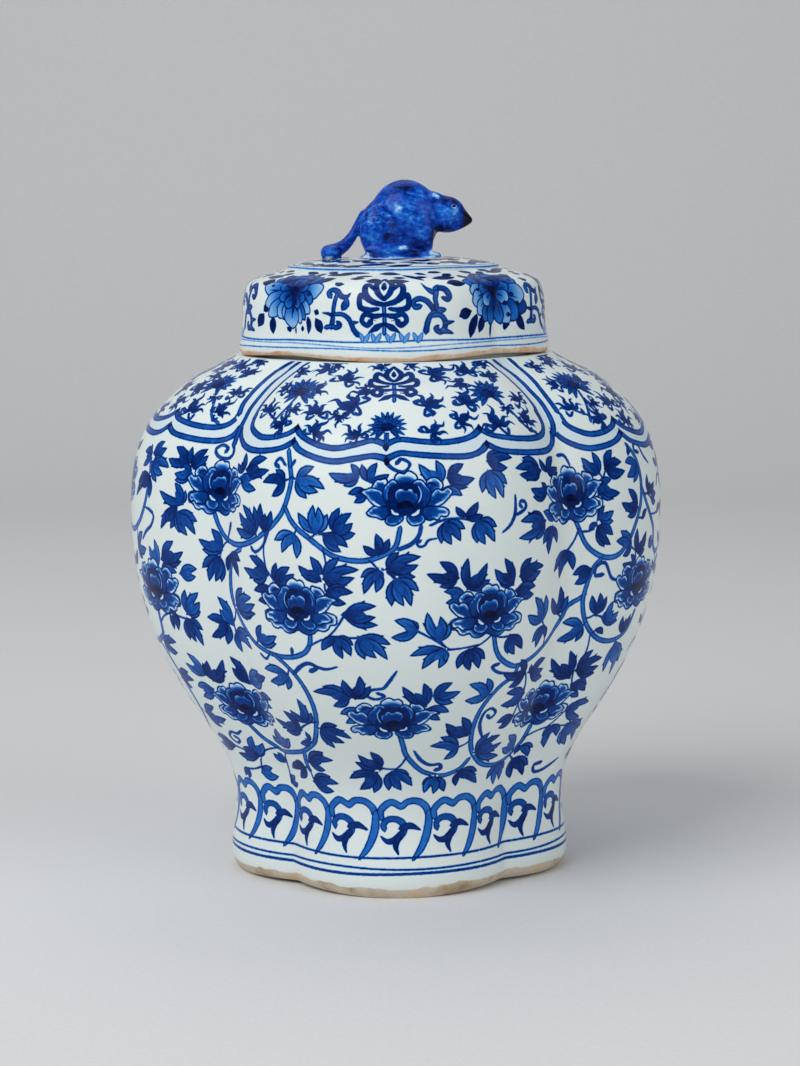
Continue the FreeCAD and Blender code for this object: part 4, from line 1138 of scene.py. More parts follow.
def sprig(azimuth, along, size, turn):
    """A small flame-like leaf: two curls at its foot, wavy flames all round it and a thick body."""
    curl_widths, flame_widths = (0.9, 0.75, 0.75, 1.15), (1.2, 1.45, 1.35, 0.95, 0.55, 0.06)
    flame_length, squashed = 11.2, 0.9
    c, s = math.cos(math.radians(turn)), math.sin(math.radians(turn))
    out = []

    def lay(points, half, ink, fade=(0.0, 0.8), cross=0.0):
        spun = [(size * (x * c - y * s), size * (x * s + y * c) * squashed) for x, y in points]
        out.append(line_stroke(from_middle(azimuth, along, spun), np.array(half) * size, ink, fade, cross))

    for side in (-1, 1):
        reach = rng.uniform(4.2, 6.0)
        lay([(-3.5, 0), (-4.5 - 0.6 * reach, side * 0.7 * reach), (-3.6 - reach, side * (reach + 1.4)),
             (-1.6 - 0.7 * reach, side * (reach + 1.5))], curl_widths, (0.84, 0.45, 0.58, 0.80))
    for place in (-72, -38, 2, 36, 74):
        angle = math.radians(place * 1.25 + rng.uniform(-14, 14))
        length = flame_length * rng.uniform(0.75, 1.15) * (1.2 if abs(place) < 10 else 1)
        wave = rng.uniform(0.12, 0.26) * (-1 if place < 0 else 1)
        points = [(-2.0 + length * (reach * math.cos(angle) - sway * wave * math.sin(angle)),
                   length * (reach * math.sin(angle) + sway * wave * math.cos(angle)))
                  for reach, sway in [(0, 0), (0.35, 0.8), (0.7, -0.2), (1.0, 0.9)]]
        lay(points, flame_widths, (0.88, 0.6, rng.uniform(0.38, 0.60), 0.82), cross=0.25)
    lay([(-4.0, 0), (0, 0), (3.2, 0)], (1.2, 2.0, 1.8, 0.8), (0.80, 0.9, 0.62, 0.84))
    return out


def fan_flower(azimuth, along, width, height, count, half):
    """A flower of many pointed petals, fanned out from its foot in three layers."""
    out = []

    def lay(points, half, ink, fade=(0.3, 0.3), cross=0.0):
        out.append(line_stroke(from_middle(azimuth, along, points), half, ink, fade, cross))

    lay([(0, 0.1 * height), (0, 0.45 * height)], (0.34 * width, 0.4 * width), (0.60, 0.8, 0.50, 0.62))
    for reach, low, number in [(1.0, -58, count), (0.74, -48, count - 2), (0.48, -30, count - 5)]:
        for i in range(number):
            angle = math.radians(low + (180 - 2 * low) * (i + rng.uniform(0.3, 0.7)) / number)
            x, y = math.cos(angle) * width * reach, math.sin(angle) * height * reach
            lay([(0.15 * x, 0.15 * y), (0.6 * x, 0.6 * y + 0.5), (x, y)],
                np.array([0.8, 1.2, 1.3, 0.95, 0.2]) * half,
                (0.86, 0.5, rng.uniform(0.34, 0.52), 0.82), (0.0, 0.9), 0.2)
    lay([(-width * 0.18, 0), (width * 0.18, 0.4)], half * 2.7, (0.92, 0.9, 0.84, 0.84))
    return out


# The panel's middle spray: a lotus head on a stem with curling leaves
lotus_spray = [
    ([(0, 17.5), (-4.2, 10.5), (-3.4, 4.5), (0, 0.5)], (0.6, 1.3, 1.4, 1)),
    ([(-3.8, 5), (-9.2, 10.5), (-10.6, 4.5), (-6.5, -0.5), (0, -2.4)], (0.7, 1.3, 1.4, 1.3, 1)),
    ([(-8, -1), (-13, 3), (-13.4, -3.5), (-8.5, -5.2), (-3, -4.6)], (0.5, 1.2, 1.3, 1.2, 0.8)),
    ([(0, -8), (-5.5, -8.8), (-10.5, -7.6), (-12.6, -11.4), (-9.6, -14), (-7.4, -12)],
     (0.7, 1.2, 1.2, 1.1, 1.1, 1.5)),
    ([(0, -13), (-4.5, -15.5), (-9, -18.5)], (0.7, 1.6, 0.2)),
]


def spray(azimuth, along, size, degree=jar_degree):
    """The lotus spray, drawn the same to the left and to the right of its stem."""
    out = []

    def lay(points, half, ink, mirror=1, cross=0.0):
        place = from_middle(azimuth, along, points, mirror, size, degree)
        out.append(line_stroke(place, np.array(half) * size, ink, cross=cross))

    lay([(0, -3), (0.3, -11), (0, -19)], 1.15, stem_ink)
    for mirror in (1, -1):
        for points, half in lotus_spray:
            lay(points, np.array(half) * 1.2, (0.90, 0.6, 0.62, 0.80), mirror, 0.3)
    lay([(0, 7), (0, 12)], (1.6, 0.8), dark_ink)
    return out


neck_foot = 344


def lifted(strokes, azimuths, rises):
    """The same strokes pushed up by the rises in mm at the azimuths, and less towards the neck."""
    out = []
    for stroke in strokes:
        place, height = stroke["path"].T
        rise = np.interp(place, azimuths, rises) * np.clip((neck_foot - height) / 50, 0, 1)
        out.append(dict(stroke, path=np.column_stack([place, height + rise])))
    return out


panel = list(collar)
for points in [[(-32, 285), (-30.6, 292), (-28.8, 300), (-27.6, 308)],
               [(-27, 286), (-28.4, 293), (-28.2, 301)],
               [(38, 277), (35, 281), (33.2, 286), (31.4, 294), (29.2, 301), (27.6, 306)],
               [(-1.9, 276), (-1.9, 285)], [(-1.5, 276), (-1.5, 285)]]:
    panel.append(line_stroke(points, (1.0, 0.8, 0.9), stem_ink))
# Sprigs of a panel: azimuth, place up the curve, size and turn
for azimuth, along, size, turn in [
        (-11.4, 303, 1.1, 165), (-13.5, 327, 1, 60), (-19.6, 298, 0.9, 100), (-17.9, 284.5, 0.9, 60),
        (-8.6, 282.5, 0.72, 120), (-29.4, 286.5, 0.85, 150), (-35.6, 297, 0.85, 100), (-24, 335, 0.85, 200),
        (-34, 314, 0.8, 130), (-19, 341, 0.7, 20), (14.4, 330, 1.1, 20), (9.8, 302, 1.05, 25),
        (19.4, 305, 1.05, 60), (25.6, 288, 1.05, 80), (36.4, 287, 0.9, 40), (24.8, 333, 0.95, 75),
        (33.2, 325, 0.85, 30), (9.2, 284, 0.8, 40), (37, 303, 0.85, 100), (16.6, 290, 0.85, 10),
        (-32, 331, 0.75, 20), (32.5, 339, 0.7, 60), (-8.4, 314, 0.7, 200), (-21.6, 315, 0.8, 30),
        (18.6, 318, 0.75, 200), (-26.4, 296, 0.6, 300), (-13.6, 292, 0.6, 250), (30.4, 294.5, 0.6, 250),
        (-4.6, 339, 0.6, 170), (6.4, 340, 0.6, 10)]:
    panel += sprig(azimuth, along, size, turn)
panel += fan_flower(-27.2, 311, 12.2, 13.5, 13, 1.25)
panel += fan_flower(26.6, 308, 12.2, 12.5, 13, 1.2)
panel += fan_flower(-1.6, 286, 10.5, 11.0, 15, 0.95)
panel += spray(0, 322, 0.92)
# The side panels hang a little higher or lower than the front one where they meet it: azimuths, rises
panel_lifts = [([0], [0]), ([-45, -36, -20, 20], [-2, -4, -3.6, 0]), ([0], [0]),
               ([-45, -20, 45], [0, 6, 6])]
shoulder = []
for number, (azimuths, rises) in enumerate(panel_lifts):
    shoulder += turned(lifted(panel, azimuths, rises), 90 * number)
for half_turn in (0, 180):
    for side_lines in gaps:
        middle_line = side_lines[-1][0]
        shoulder += turned([line_stroke(middle_line[2:], (6.6, 6.4, 5.6), wash_ink)], half_turn)
        for points, half in side_lines:
            shoulder += turned([line_stroke(points, half, collar_ink, cross=0.2)], half_turn)
shoulder += ring_line(342.6, 0.55, (0.6, 0.4, 0.55, 0.55), 0.2, 3)

ledge = [(91, 300.35, 0.92, 12, 0), (89.5, 300.3, 0.92, 11, 0), (84, 300, 0.915, 10, 0),
         (79, 300, 0.9, 8, 0), (73, 300, 0.895, 14, 0), (73, 296, 0.895, 14, 0),
         (74, 293.6, 0.895, 14, 0)]
upper_inside = [(80, 294.5, 0.9, 15, 0), (95, 290.2, 0.872, 18, 0), (110, 282.6, 0.853, 20, 0),
                (121, 274.6, 0.853, 21, 0), (131, 265, 0.853, 22, 0), (140, 251, 0.856, 25, 0),
                (145.6, 233, 0.864, 28, 0), (147.3, 212, 0.864, 31.5, 0)]
upper_along = np.linspace(jar_knots[belly], jar_knots[-1], 76)
upper_body = painted_piece("upper_body_painted", upper_inside[-1:], upper_along, jar_rows(upper_along),
                           ledge + upper_inside, scroll + shoulder, porcelain)
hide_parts("upper_body")
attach(upper_body, "jar")

# The neck: a short plain collar of white glazed porcelain that stands up inside the
# cover and keeps it from sliding off. It is luted to the ledge of the upper body, and
# its top edge is wiped bare.
neck_glaze = painted_porcelain("neck_porcelain", bare_from=327.8 * mm, strokes=0)
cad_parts["neck"].material_slots[0].material = neck_glaze

# The cover: a pressed lobed wall that rests with its bare rim on the ledge, and a low
# crown that closes it. Peonies stand at the four grooves, with curling leaves between
# them and a lotus spray in the middle of each side.
cover_stations = np.array([
    (87.4, 300.3), (88.6, 301.5), (88.6, 310), (87.4, 323), (85.3, 338.3), (83.9, 341),
    (80.7, 343.2), (74.8, 345.5), (66.8, 347.6), (62.5, 349),
])
cover_knots = lengths_up(cover_stations)
cover_degree = degree_widths(cover_stations)
crown_from, cover_share, cover_fillet = 4, 0.91, 9.0
rim_lift, rim_lift_end = 2.3, 14
cover_glaze = painted_porcelain("cover_porcelain", 303.2 * mm, rim_lift * mm)


def cover_rows(along):
    """The rows of the cover's outside at distances up from its rim, which arches up at the grooves."""
    radius, height = (natural_curve(cover_knots, cover_stations[:, i], along) for i in (0, 1))
    share, fillet = np.full(len(along), cover_share), np.full(len(along), cover_fillet)
    lift = np.interp(along, [0, rim_lift_end], [rim_lift, 0])
    return np.column_stack([radius, height, share, fillet, lift])


def round_petal(turn, length, width):
    """The outline of a petal of the cover's peonies, in mm from the flower's heart."""
    shape = [(0.10, 0.16), (0.40, 0.40), (0.70, 0.54), (0.90, 0.36), (1.0, 0.06), (0.93, -0.22),
             (0.74, -0.5), (0.4, -0.42), (0.1, -0.14)]
    c, s = math.cos(math.radians(turn)), math.sin(math.radians(turn))
    return [(a * length * c - b * width * s, a * length * s + b * width * c) for a, b in shape]


petal_inks = [(0.86, 0.75, 0.2, 0.62), (0.92, 0.8, 0.42, 0.8), (0.94, 0.8, 0.62, 0.88)]
# Petals of the two kinds of peony on the cover, back ones first: turn in degrees, length and
# width in mm, and the number of its ink, 0 pale, 1 deep or 2 dark
hanging_peony = [
    (150, 21, 9, 1), (27, 21, 9, 2), (131, 20, 9, 2), (47, 19, 9, 1), (112, 18, 9, 1), (66, 18, 9, 2),
    (89, 17, 10, 1), (173, 24, 9, 0), (5, 22, 10, 0), (198, 22, 9, 0), (215, 22, 8, 0), (343, 17, 8, 1),
    (323, 18, 7, 0), (307, 18, 6, 1), (294, 18, 6, 0), (232, 17, 8, 0), (249, 16, 8, 0), (268, 19, 11, 0),
    (160, 12, 6, 1), (20, 12, 6, 1), (130, 12, 6, 2), (50, 12, 6, 2), (100, 11, 6, 1), (75, 11, 6, 1),
    (200, 11, 6, 1), (335, 11, 6, 1), (238, 10, 6, 1), (300, 10, 6, 1),
]
open_peony = [
    (155, 20, 9, 1), (134, 18, 9, 1), (112, 17, 10, 2), (88, 16, 10, 1), (64, 18, 10, 1), (40, 20, 10, 2),
    (20, 22, 10, 1), (336, 27, 11, 2), (352, 24, 12, 0), (176, 18, 9, 0), (196, 18, 10, 0),
    (218, 18, 9, 0), (238, 18, 8, 1), (318, 23, 11, 1), (300, 20, 10, 0), (256, 18, 7, 1),
    (284, 18, 7, 1), (12, 13, 8, 1), (165, 11, 7, 1), (125, 11, 7, 2), (60, 12, 8, 2), (92, 10, 8, 1),
    (335, 12, 8, 0), (215, 11, 7, 0),
]
# Dark spots on their petals: place in mm from the heart and half-width
hanging_spots = [(-13, 7.5, 1.1), (9, 5, 1.2), (12.6, -0.8, 1.3), (5, 9.5, 0.9), (-6, 10, 0.9),
                 (-17, 3, 0.8), (3.5, -9, 0.8)]
open_spots = [(3, 7.5, 1.5), (11, 5.4, 1.4), (16, 6.6, 1.2), (13, -2.2, 1.5), (8, -6.6, 1.4),
              (-8, 6.2, 1.2), (-12, 1, 0.9), (17, -7, 1.3), (10, -12.5, 1.3)]


def petal_wash(reach, depth):
    """A petal's wash thins out slowly from its root to its tip."""
    return np.clip((reach - 0.25) / 0.6, 0, 1)


def cover_peony(azimuth, along, petals, spots):
    """A peony head of the cover: narrow petals with dark streaks and spots about a dark heart."""
    size = 1.1
    out = []

    def dab(points, half, ink, fade=(0.3, 0.3)):
        out.append(line_stroke(from_middle(azimuth, along, points, 1, size, cover_degree), half, ink, fade))

    for turn, length, width, number in petals:
        outline = from_middle(azimuth, along, round_petal(turn, length, width), 1, size, cover_degree)
        out.append(petal_stroke(outline, (azimuth, along), petal_inks[number], petal_wash))
        lean = math.radians(turn + rng.uniform(-6, 6))
        c, s = math.cos(lean), math.sin(lean)
        near, far = 0.3 * length, length * rng.uniform(0.6, 0.8)
        dab([(near * c, near * s), (far * c, far * s)], (0.8, 0.5, 0.1), (0.86, 0.3, 0.70, 0.84), (1, 0))
    for x, y, half in spots:
        dab([(x - 0.6, y + 0.2), (x + 0.6, y)], half, (0.96, 0.8, 0.80, 0.84))
    dab([(0.3, -1), (0.5, -5), (0.2, -10.5)], (2.2, 1.6, 0.3), (0.98, 0.6, 0.72, 0.96), (0, 1))
    dab([(-1.5, 0.5), (1.5, 0.2)], 2.6, (1.0, 1.2, 0.98, 0.98))
    return out


curl_ink = (0.9, 0.7, 0.48, 0.68)
# Curling leaves left and right of the spray: places, half-widths in mm
curls = [
    ([(-24.6, 36.8), (-25.6, 39), (-23.8, 40.7), (-21.7, 39.4), (-20, 37), (-17.8, 36.4),
      (-16.2, 38.6)], (1.7, 1.2, 1.4, 1.7, 1.4, 1.3, 0.3)),
    ([(-17.7, 35.4), (-17.9, 32.8), (-18.9, 30.3)], (1.3, 2.4, 1.7)),
    ([(-21.7, 38.3), (-22.6, 33.3), (-23.1, 27.2), (-23.4, 22.5), (-23.8, 19.8)],
     (1.2, 1.2, 1.2, 1.4, 1.8)),
    ([(-27.9, 27.6), (-25.5, 27.2), (-23.3, 26.4)], (0.3, 0.7, 1.1)),
    ([(-22.6, 26.9), (-19.4, 27), (-16.7, 24.6), (-15.5, 21.2), (-14.5, 17.8), (-12.7, 15.1)],
     (1, 1.1, 1.2, 1.3, 1.4, 1.5)),
    ([(-15.3, 22.2), (-12.9, 22.7)], (1.2, 0.3)),
    ([(-26.4, 19.4), (-23.8, 20), (-21.6, 19.5), (-20.2, 20.9), (-21.2, 22.5)],
     (1.3, 1.2, 1.3, 1.4, 1.2)),
    ([(11, 46), (12.6, 41.4), (15.6, 38.8), (17.2, 41.2), (19.8, 40.8), (21.6, 36.8), (20.8, 34.6),
      (18.8, 35.6)], (0.2, 0.8, 1.6, 1.5, 1.8, 1.9, 1.5, 1)),
    ([(16.2, 40.2), (17.6, 43.4)], (1.8, 0.8)),
    ([(16.4, 39), (15.8, 35), (16.2, 31), (15.8, 28.4)], (1.5, 1.3, 1.3, 1.6)),
    ([(9.8, 31.2), (8, 30.6), (7.4, 33.6), (9.4, 35.4), (12.2, 34.2), (14.2, 31), (15.4, 28)],
     (1.5, 1.2, 1.3, 1.4, 1.5, 1.5, 1.6)),
    ([(15.2, 28), (13.2, 24.6), (12.3, 20.5), (11.9, 17)], (1.4, 1.4, 1.5, 1.8)),
    ([(14.6, 26), (17.4, 26.2), (19.4, 22.8), (19.2, 18.6), (17.2, 16.6), (15.6, 18.6), (16.6, 20)],
     (1.2, 1.4, 1.4, 1.5, 1.6, 1.3, 0.9)),
    ([(17.4, 28.6), (19.4, 29)], (2, 1.2)), ([(19.4, 21.4), (23.2, 22.2)], (1.5, 0.4)),
    ([(18.4, 17.6), (22.6, 15.6)], (1.9, 0.5)),
]
# Dark drops below the peonies and leaf dabs on the crown: both ends, half-width in mm
drops = [
    ((-30.9, 23.2), (-28.4, 16.4), 2.4), ((-35.4, 24.4), (-35, 15.6), 1.6),
    ((-38.6, 19.2), (-38.4, 16.8), 1.2), ((-31.6, 28.2), (-29.8, 27.2), 1.5),
    ((-43, 18.6), (-42.6, 15.2), 0.6), ((-47.6, 18.2), (-46.4, 16), 1.3), ((-50.2, 24.8), (-50, 22.8), 1.3),
    ((-55.2, 23.4), (-55, 14.8), 2.2), ((-59, 30.4), (-61, 27.4), 2), ((-61.4, 24.6), (-64.6, 18.4), 2.9),
    ((30.6, 27.2), (25.8, 25), 2.6), ((34, 24.6), (30.4, 12.8), 2.3), ((38, 24.2), (35.2, 15.4), 2.2),
    ((43, 20), (41.6, 11.8), 0.7), ((50.6, 20.4), (52.4, 18.6), 3.4), ((57.4, 24), (61.2, 15.2), 2.5),
    ((60, 30.4), (63.6, 28.2), 2.2),
]
dabs = [
    ((-34.4, 59.2), (-20.6, 60.4), 1.5), ((-34, 47.6), (-26.8, 52.6), 2.4),
    ((-42.4, 55.8), (-37, 60.8), 1.6), ((-10.8, 49.2), (-4.6, 48.8), 2.2), ((-3, 48.9), (6.2, 48.4), 1.9),
    ((17.6, 51.8), (28.4, 52.8), 2.1), ((24, 56.4), (29.2, 59.8), 1.7), ((33, 53.6), (38.6, 48.2), 1.8),
    ((4.6, 59), (12.8, 49.4), 1.3), ((-6.2, 61.8), (3.4, 60.8), 1.6), ((10.8, 61.8), (15.8, 59.4), 1.2),
    ((22.6, 45), (30.4, 44.2), 2.3), ((32, 56), (34.8, 53), 1.7), ((-27, 62.4), (-12, 63), 1.1),
    ((38, 62.8), (46, 60.4), 1.5), ((-41, 50.8), (-37.6, 53.4), 1.4), ((-16.6, 56.4), (-9.6, 57.6), 1),
    ((40.6, 54.8), (47, 56.6), 1.6), ((-24, 46.6), (-20, 44.8), 1.3), ((-18.6, 52.4), (-12.6, 53.4), 1.5),
    ((9.6, 54.4), (15, 55.2), 1.4), ((0.4, 54.6), (5.2, 53.8), 1.3), ((-36.4, 63.2), (-30, 61.6), 1.4),
    ((18, 62.4), (25, 62.8), 1.3),
]
cover_panel = []
for points, half in curls:
    cover_panel.append(line_stroke(points, np.array(half) * 1.05, curl_ink, (0.9, 0.0), 0.3))
dab_widths, drop_widths = np.array([0.25, 0.85, 1.0, 0.8, 0.2]), np.array([0.5, 0.95, 1.0, 0.8, 0.15])
for near, far, half in dabs:
    bend = (np.array(near) + far) / 2 + (0, rng.uniform(-0.8, 0.8))
    ink = (0.96, 0.6, rng.uniform(0.66, 0.9), 0.96)
    cover_panel.append(line_stroke([near, bend, far], dab_widths * half * 1.5, ink, cross=0.2))
for azimuth in (-10.6, -6.4, -1.2, 3.8, 8.8):
    for lean in (-1.6, 1.8):
        blade = [(azimuth, 11.6), (azimuth + lean * 0.5, 13.8), (azimuth + lean, 16.2)]
        cover_panel.append(line_stroke(blade, (0.8, 1.5, 1.2, 0.6), (0.50, 0.5, 0.16, 0.34)))
cover_strokes = []
for along, half, ink in [(11.4, 0.35, (0.60, 0.4, 0.50, 0.50)), (9.2, 0.15, (0.40, 0.4, 0.34, 0.34)),
                         (6.9, 0.2, (0.62, 0.4, 0.5, 0.5))]:
    cover_strokes += ring_line(along, half, ink, 0.5, along)
for number in range(4):
    cover_strokes += turned(cover_panel, 90 * number)
    cover_strokes += turned(spray(-3.4, 34.6, 0.98, cover_degree), 90 * number)
for half_turn in (0, 180):
    for near, far, half in drops:
        bend = (np.array(near) + far) / 2 + (rng.uniform(-0.6, 0.6), 0)
        drop = line_stroke([near, bend, far], drop_widths * half * 1.2, (0.94, 0.6, 0.70, 0.96), cross=0.25)
        cover_strokes += turned([drop], half_turn)
    cover_strokes += turned(cover_peony(-45, 38.6, hanging_peony, hanging_spots), half_turn)
    cover_strokes += turned(cover_peony(45, 38, open_peony, open_spots), half_turn)

wall_along = np.concatenate([np.linspace(0, 1.697, 3), np.linspace(2.6, cover_knots[crown_from], 40)])
wall_inside = [(79.3, 338.3, 0.905, 14, 0), (81.4, 323, 0.907, 14, 0), (82.6, 310, 0.907, 14, 0.6),
               (82.6, 301.5, 0.907, 14, 2.2), (83.6, 300.4, 0.907, 13.5, rim_lift)]
cover_wall = painted_piece("cover_wall_painted", wall_inside[-1:], wall_along, cover_rows(wall_along),
                           wall_inside, cover_strokes, cover_glaze)
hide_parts("cover_wall")
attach(cover_wall, "cover")

crown_along = np.linspace(cover_knots[crown_from], cover_knots[-1], 30)
crown_under = [(0, 343, 0.91, 5, 0), (40, 343, 0.91, 9, 0), (72, 343, 0.91, 14, 0),
               (77, 341.4, 0.91, 14, 0), (79.3, 338.3, 0.905, 14, 0)]
crown_top = [(40, 349, 0.91, 9, 0), (0, 349, 0.91, 5, 0)]
cover_crown = painted_piece("cover_crown_painted", crown_under, crown_along, cover_rows(crown_along),
                            crown_top, cover_strokes, cover_glaze)
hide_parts("cover_crown")
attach(cover_crown, "cover")

# The plinth: a low lobed dome of porcelain luted to the crown as a stand for the
# rat. Two thin lines run round its edge, and brushed leaves cover the top.
plinth_stations = np.array([
    (61, 349), (61, 350.8), (51.2, 352.8), (39.3, 354.6), (26, 355.3), (9, 355.3)])
plinth_knots = lengths_up(plinth_stations)
plinth_degree = degree_widths(plinth_stations)
leaf_widths = np.array([0.2, 0.8, 1.0, 0.7, 0.1])
plinth_strokes = ring_line(1.4, 0.4, (0.45, 0.4, 0.36, 0.36), 0.3, 5)
plinth_strokes += ring_line(5.2, 0.45, line_ink, 0.6, 6)
# Rings of leaves from the edge in: how many, and between which distances up the dome
for ring, (count, low, high) in enumerate([(34, 7, 15), (28, 14, 23), (20, 22, 33), (12, 31, 42)]):
    for number in range(count):
        azimuth = 360 / count * (number + 0.3 * ring) + rng.uniform(-4, 4)
        length = rng.uniform(9, 15) / plinth_degree((low + high) / 2)
        near, far = rng.uniform(low, high, 2)
        half = rng.uniform(2.0, 3.2)
        bend = (azimuth + length / 2, (near + far) / 2 + rng.uniform(-1.5, 1.5))
        plinth_strokes.append(line_stroke([(azimuth, near), bend, (azimuth + length, far)],
                                          leaf_widths * half, (0.96, 0.5, rng.uniform(0.55, 0.9), 0.95),
                                          cross=0.3))
plinth_along = np.linspace(0, plinth_knots[-1], 56)
radii, heights = (np.interp(plinth_along, plinth_knots, column) for column in plinth_stations.T)
outside = [(radius, height, 0.91, 6, 0) for radius, height in zip(radii, heights)]
plinth = painted_piece("plinth_painted", [(0, 349, 0.91, 5, 0)], plinth_along, outside,
                       [(0, 355.3, 0.91, 5, 0)], plinth_strokes, porcelain, 400)
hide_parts("plinth")
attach(plinth, "cover")

# The rat: modelled by hand in clay pieces that are luted together, set on the plinth
# and covered in cobalt glaze, which softens every joint and runs white at the base.
# It is a field of soft eggs: middle and half-sizes in mm, mirrored where it has a side.
rat_eggs = [
    ((7, 0, 378), (20, 15.5, 21.6)), ((-7.5, 0, 371), (12, 14.5, 17)), ((22, 0, 383.5), (10, 10, 9.2)),
    ((14, 0, 368), (9.2, 12, 13)), ((2, 0, 362), (17, 13, 8)), ((2.4, 0, 358), (17.6, 14.4, 3)),
    ((2.6, 0, 355.6), (20, 16, 1.7)), ((3, 0, 354.4), (24, 18.4, 1.6)),
    ((-35.2, -3.4, 354.8), (5.6, 5, 1.5)), ((30, 0, 380.4), (11.6, 9.4, 9.6)),
    ((38, 0, 376.8), (6.4, 5, 5.6)), ((43.2, 0, 376), (2.6, 2, 2.1)),
    ((31, 0, 373.6), (8.6, 6.2, 4.6)), ((27, 5, 376.6), (7.4, 4.6, 6.6)),
    ((-7.4, 11, 370.5), (11.4, 6.6, 15)), ((15.5, 8.6, 373), (8.4, 5.8, 12)),
    ((-4, 15, 359.8), (11.8, 3, 2.4)), ((5.4, 15.6, 360.6), (3.9, 2.4, 1.9)),
    ((19.4, 8.2, 364), (3.6, 3.6, 9)), ((22.6, 8.8, 356.2), (4.8, 3.2, 1.5)),
    ((25.2, 8.4, 389.4), (3.2, 1.3, 2.7)), ((34.8, 6.9, 384.2), (1.5, 1.1, 1.2)),
]
tail_path = [(-17, 0, 380), (-20.2, 0, 374), (-23.4, 0, 367.4), (-27.2, -0.5, 362.8),
             (-31, -1.2, 360.2), (-35, -0.8, 359), (-38, -2.6, 358.6), (-37.6, -6, 358.2),
             (-34.6, -6.8, 358), (-32.4, -4.8, 358.2)]
tail_thickness = [2, 2.1, 2.5, 2.9, 3.1, 3.2, 3.1, 2.9, 2.8, 2.6]


def soft_figure_tree(eggs, low, high, step):
    """Geometry Nodes: the skin of a field of eggs that run softly into each other."""
    tree = modelling_tree("soft_figure", "Clay", [("Softness", "Float"), ("Glaze", "Material")], "Skin")
    start = Wire(tree)
    softness = start.add("NodeGroupInput").beside("Softness")
    here = start.add("GeometryNodeInputPosition")
    x, folded = here.split(), here.vector("ABSOLUTE", here).split()
    paired = start.add("ShaderNodeCombineXYZ", None, {0: x, 1: folded.beside(1), 2: x.beside(2)})
    field = None
    for middle, half in eggs:
        middle_m, half_m = [v * mm for v in middle], [v * mm for v in half]
        unit = start.vector("DIVIDE", start.vector("SUBTRACT", paired if middle[1] > 0 else here, middle_m),
                            half_m)
        reach = start.vector("LENGTH", unit, output=1)
        steep = start.vector("LENGTH", start.vector("DIVIDE", unit, half_m), output=1)
        depth = reach * (reach - 1.0) / (steep + 1e-3)
        field = depth if field is None else start.math("SMOOTH_MIN", field, depth, softness)
    counts = [round((b - a) / step) + 1 for a, b in zip(low, high)]
    cloud = start.add("GeometryNodeVolumeCube", None, {
        "Density": 0.0 - field, "Background": -1.0,
        "Min": [v * mm for v in low], "Max": [v * mm for v in high],
        "Resolution X": counts[0], "Resolution Y": counts[1], "Resolution Z": counts[2]})
    skin = start.add("GeometryNodeVolumeToMesh", {"resolution_mode": "GRID"}, {
        "Volume": cloud, "Threshold": 0.0, "Adaptivity": 0.0})
    skin = start.add("GeometryNodeSetShadeSmooth", None, {"Geometry": skin})
    skin = start.add("GeometryNodeRealizeInstances", None, {"Geometry": skin})
    skin = start.add("GeometryNodeSetMaterial", None, {
        "Geometry": skin, "Material": softness.beside("Glaze")})
    start.add("NodeGroupOutput", None, {"Skin": skin})
    return tree


# Cobalt glaze from thin to thick
glaze_stops = [
    (0.00, linear(206, 226, 236)), (0.14, linear(126, 184, 236)), (0.30, linear(38, 118, 214)),
    (0.46, linear(8, 80, 190)), (0.62, linear(2, 52, 152)), (0.80, linear(0, 24, 92)),
    (1.00, linear(0, 4, 26)),
]
# Places where the glaze is darker or paler, and where it is worn off pale: middle in mm
# from the jar's foot with the far side folded over, radius, soft edge, strength. In the first
# table the dark nose, snout and brow are the glaze's own. The darker patches under the head,
# under the belly, in the creases and along the top of the back are painted shade. The paler
# ones lie on the flank, cheek and haunch
glaze_and_shade_patches = [
    ((4, 16, 384), 3, 9, -0.1), ((31, 9, 378), 2, 7, -0.16), ((-8, 17, 366), 2, 5, -0.08),
    ((44.5, 0, 375.5), 3, 5, 0.6), ((26, 8, 369.5), 3, 6, 0.34), ((32, 6, 388.4), 1, 5.5, 0.3),
    ((14, 14, 359), 3, 6, 0.22), ((6, 8, 398), 4, 6, 0.16), ((-4, 16, 366), 1.5, 5, 0.12),
    ((36, 7, 386.6), 0.9, 2.2, 0.4), ((40.5, 3, 381), 1, 3.4, 0.3),
]
worn = [
    ((5.2, 17.6, 361.2), 0.8, 1.8, 0.8), ((7.6, 17.4, 361.2), 0.6, 1.6, 0.7),
    ((24, 9.6, 391), 0.8, 1.4, 0.7), ((25.8, 9.8, 389.6), 0.6, 1.4, 0.7),
    ((23.4, 9.5, 357.6), 2.2, 3.2, 0.9), ((-17, 8, 357.4), 2.5, 3.5, 0.8),
    ((-34.6, -3, 356.6), 4, 3.6, 0.5),
]


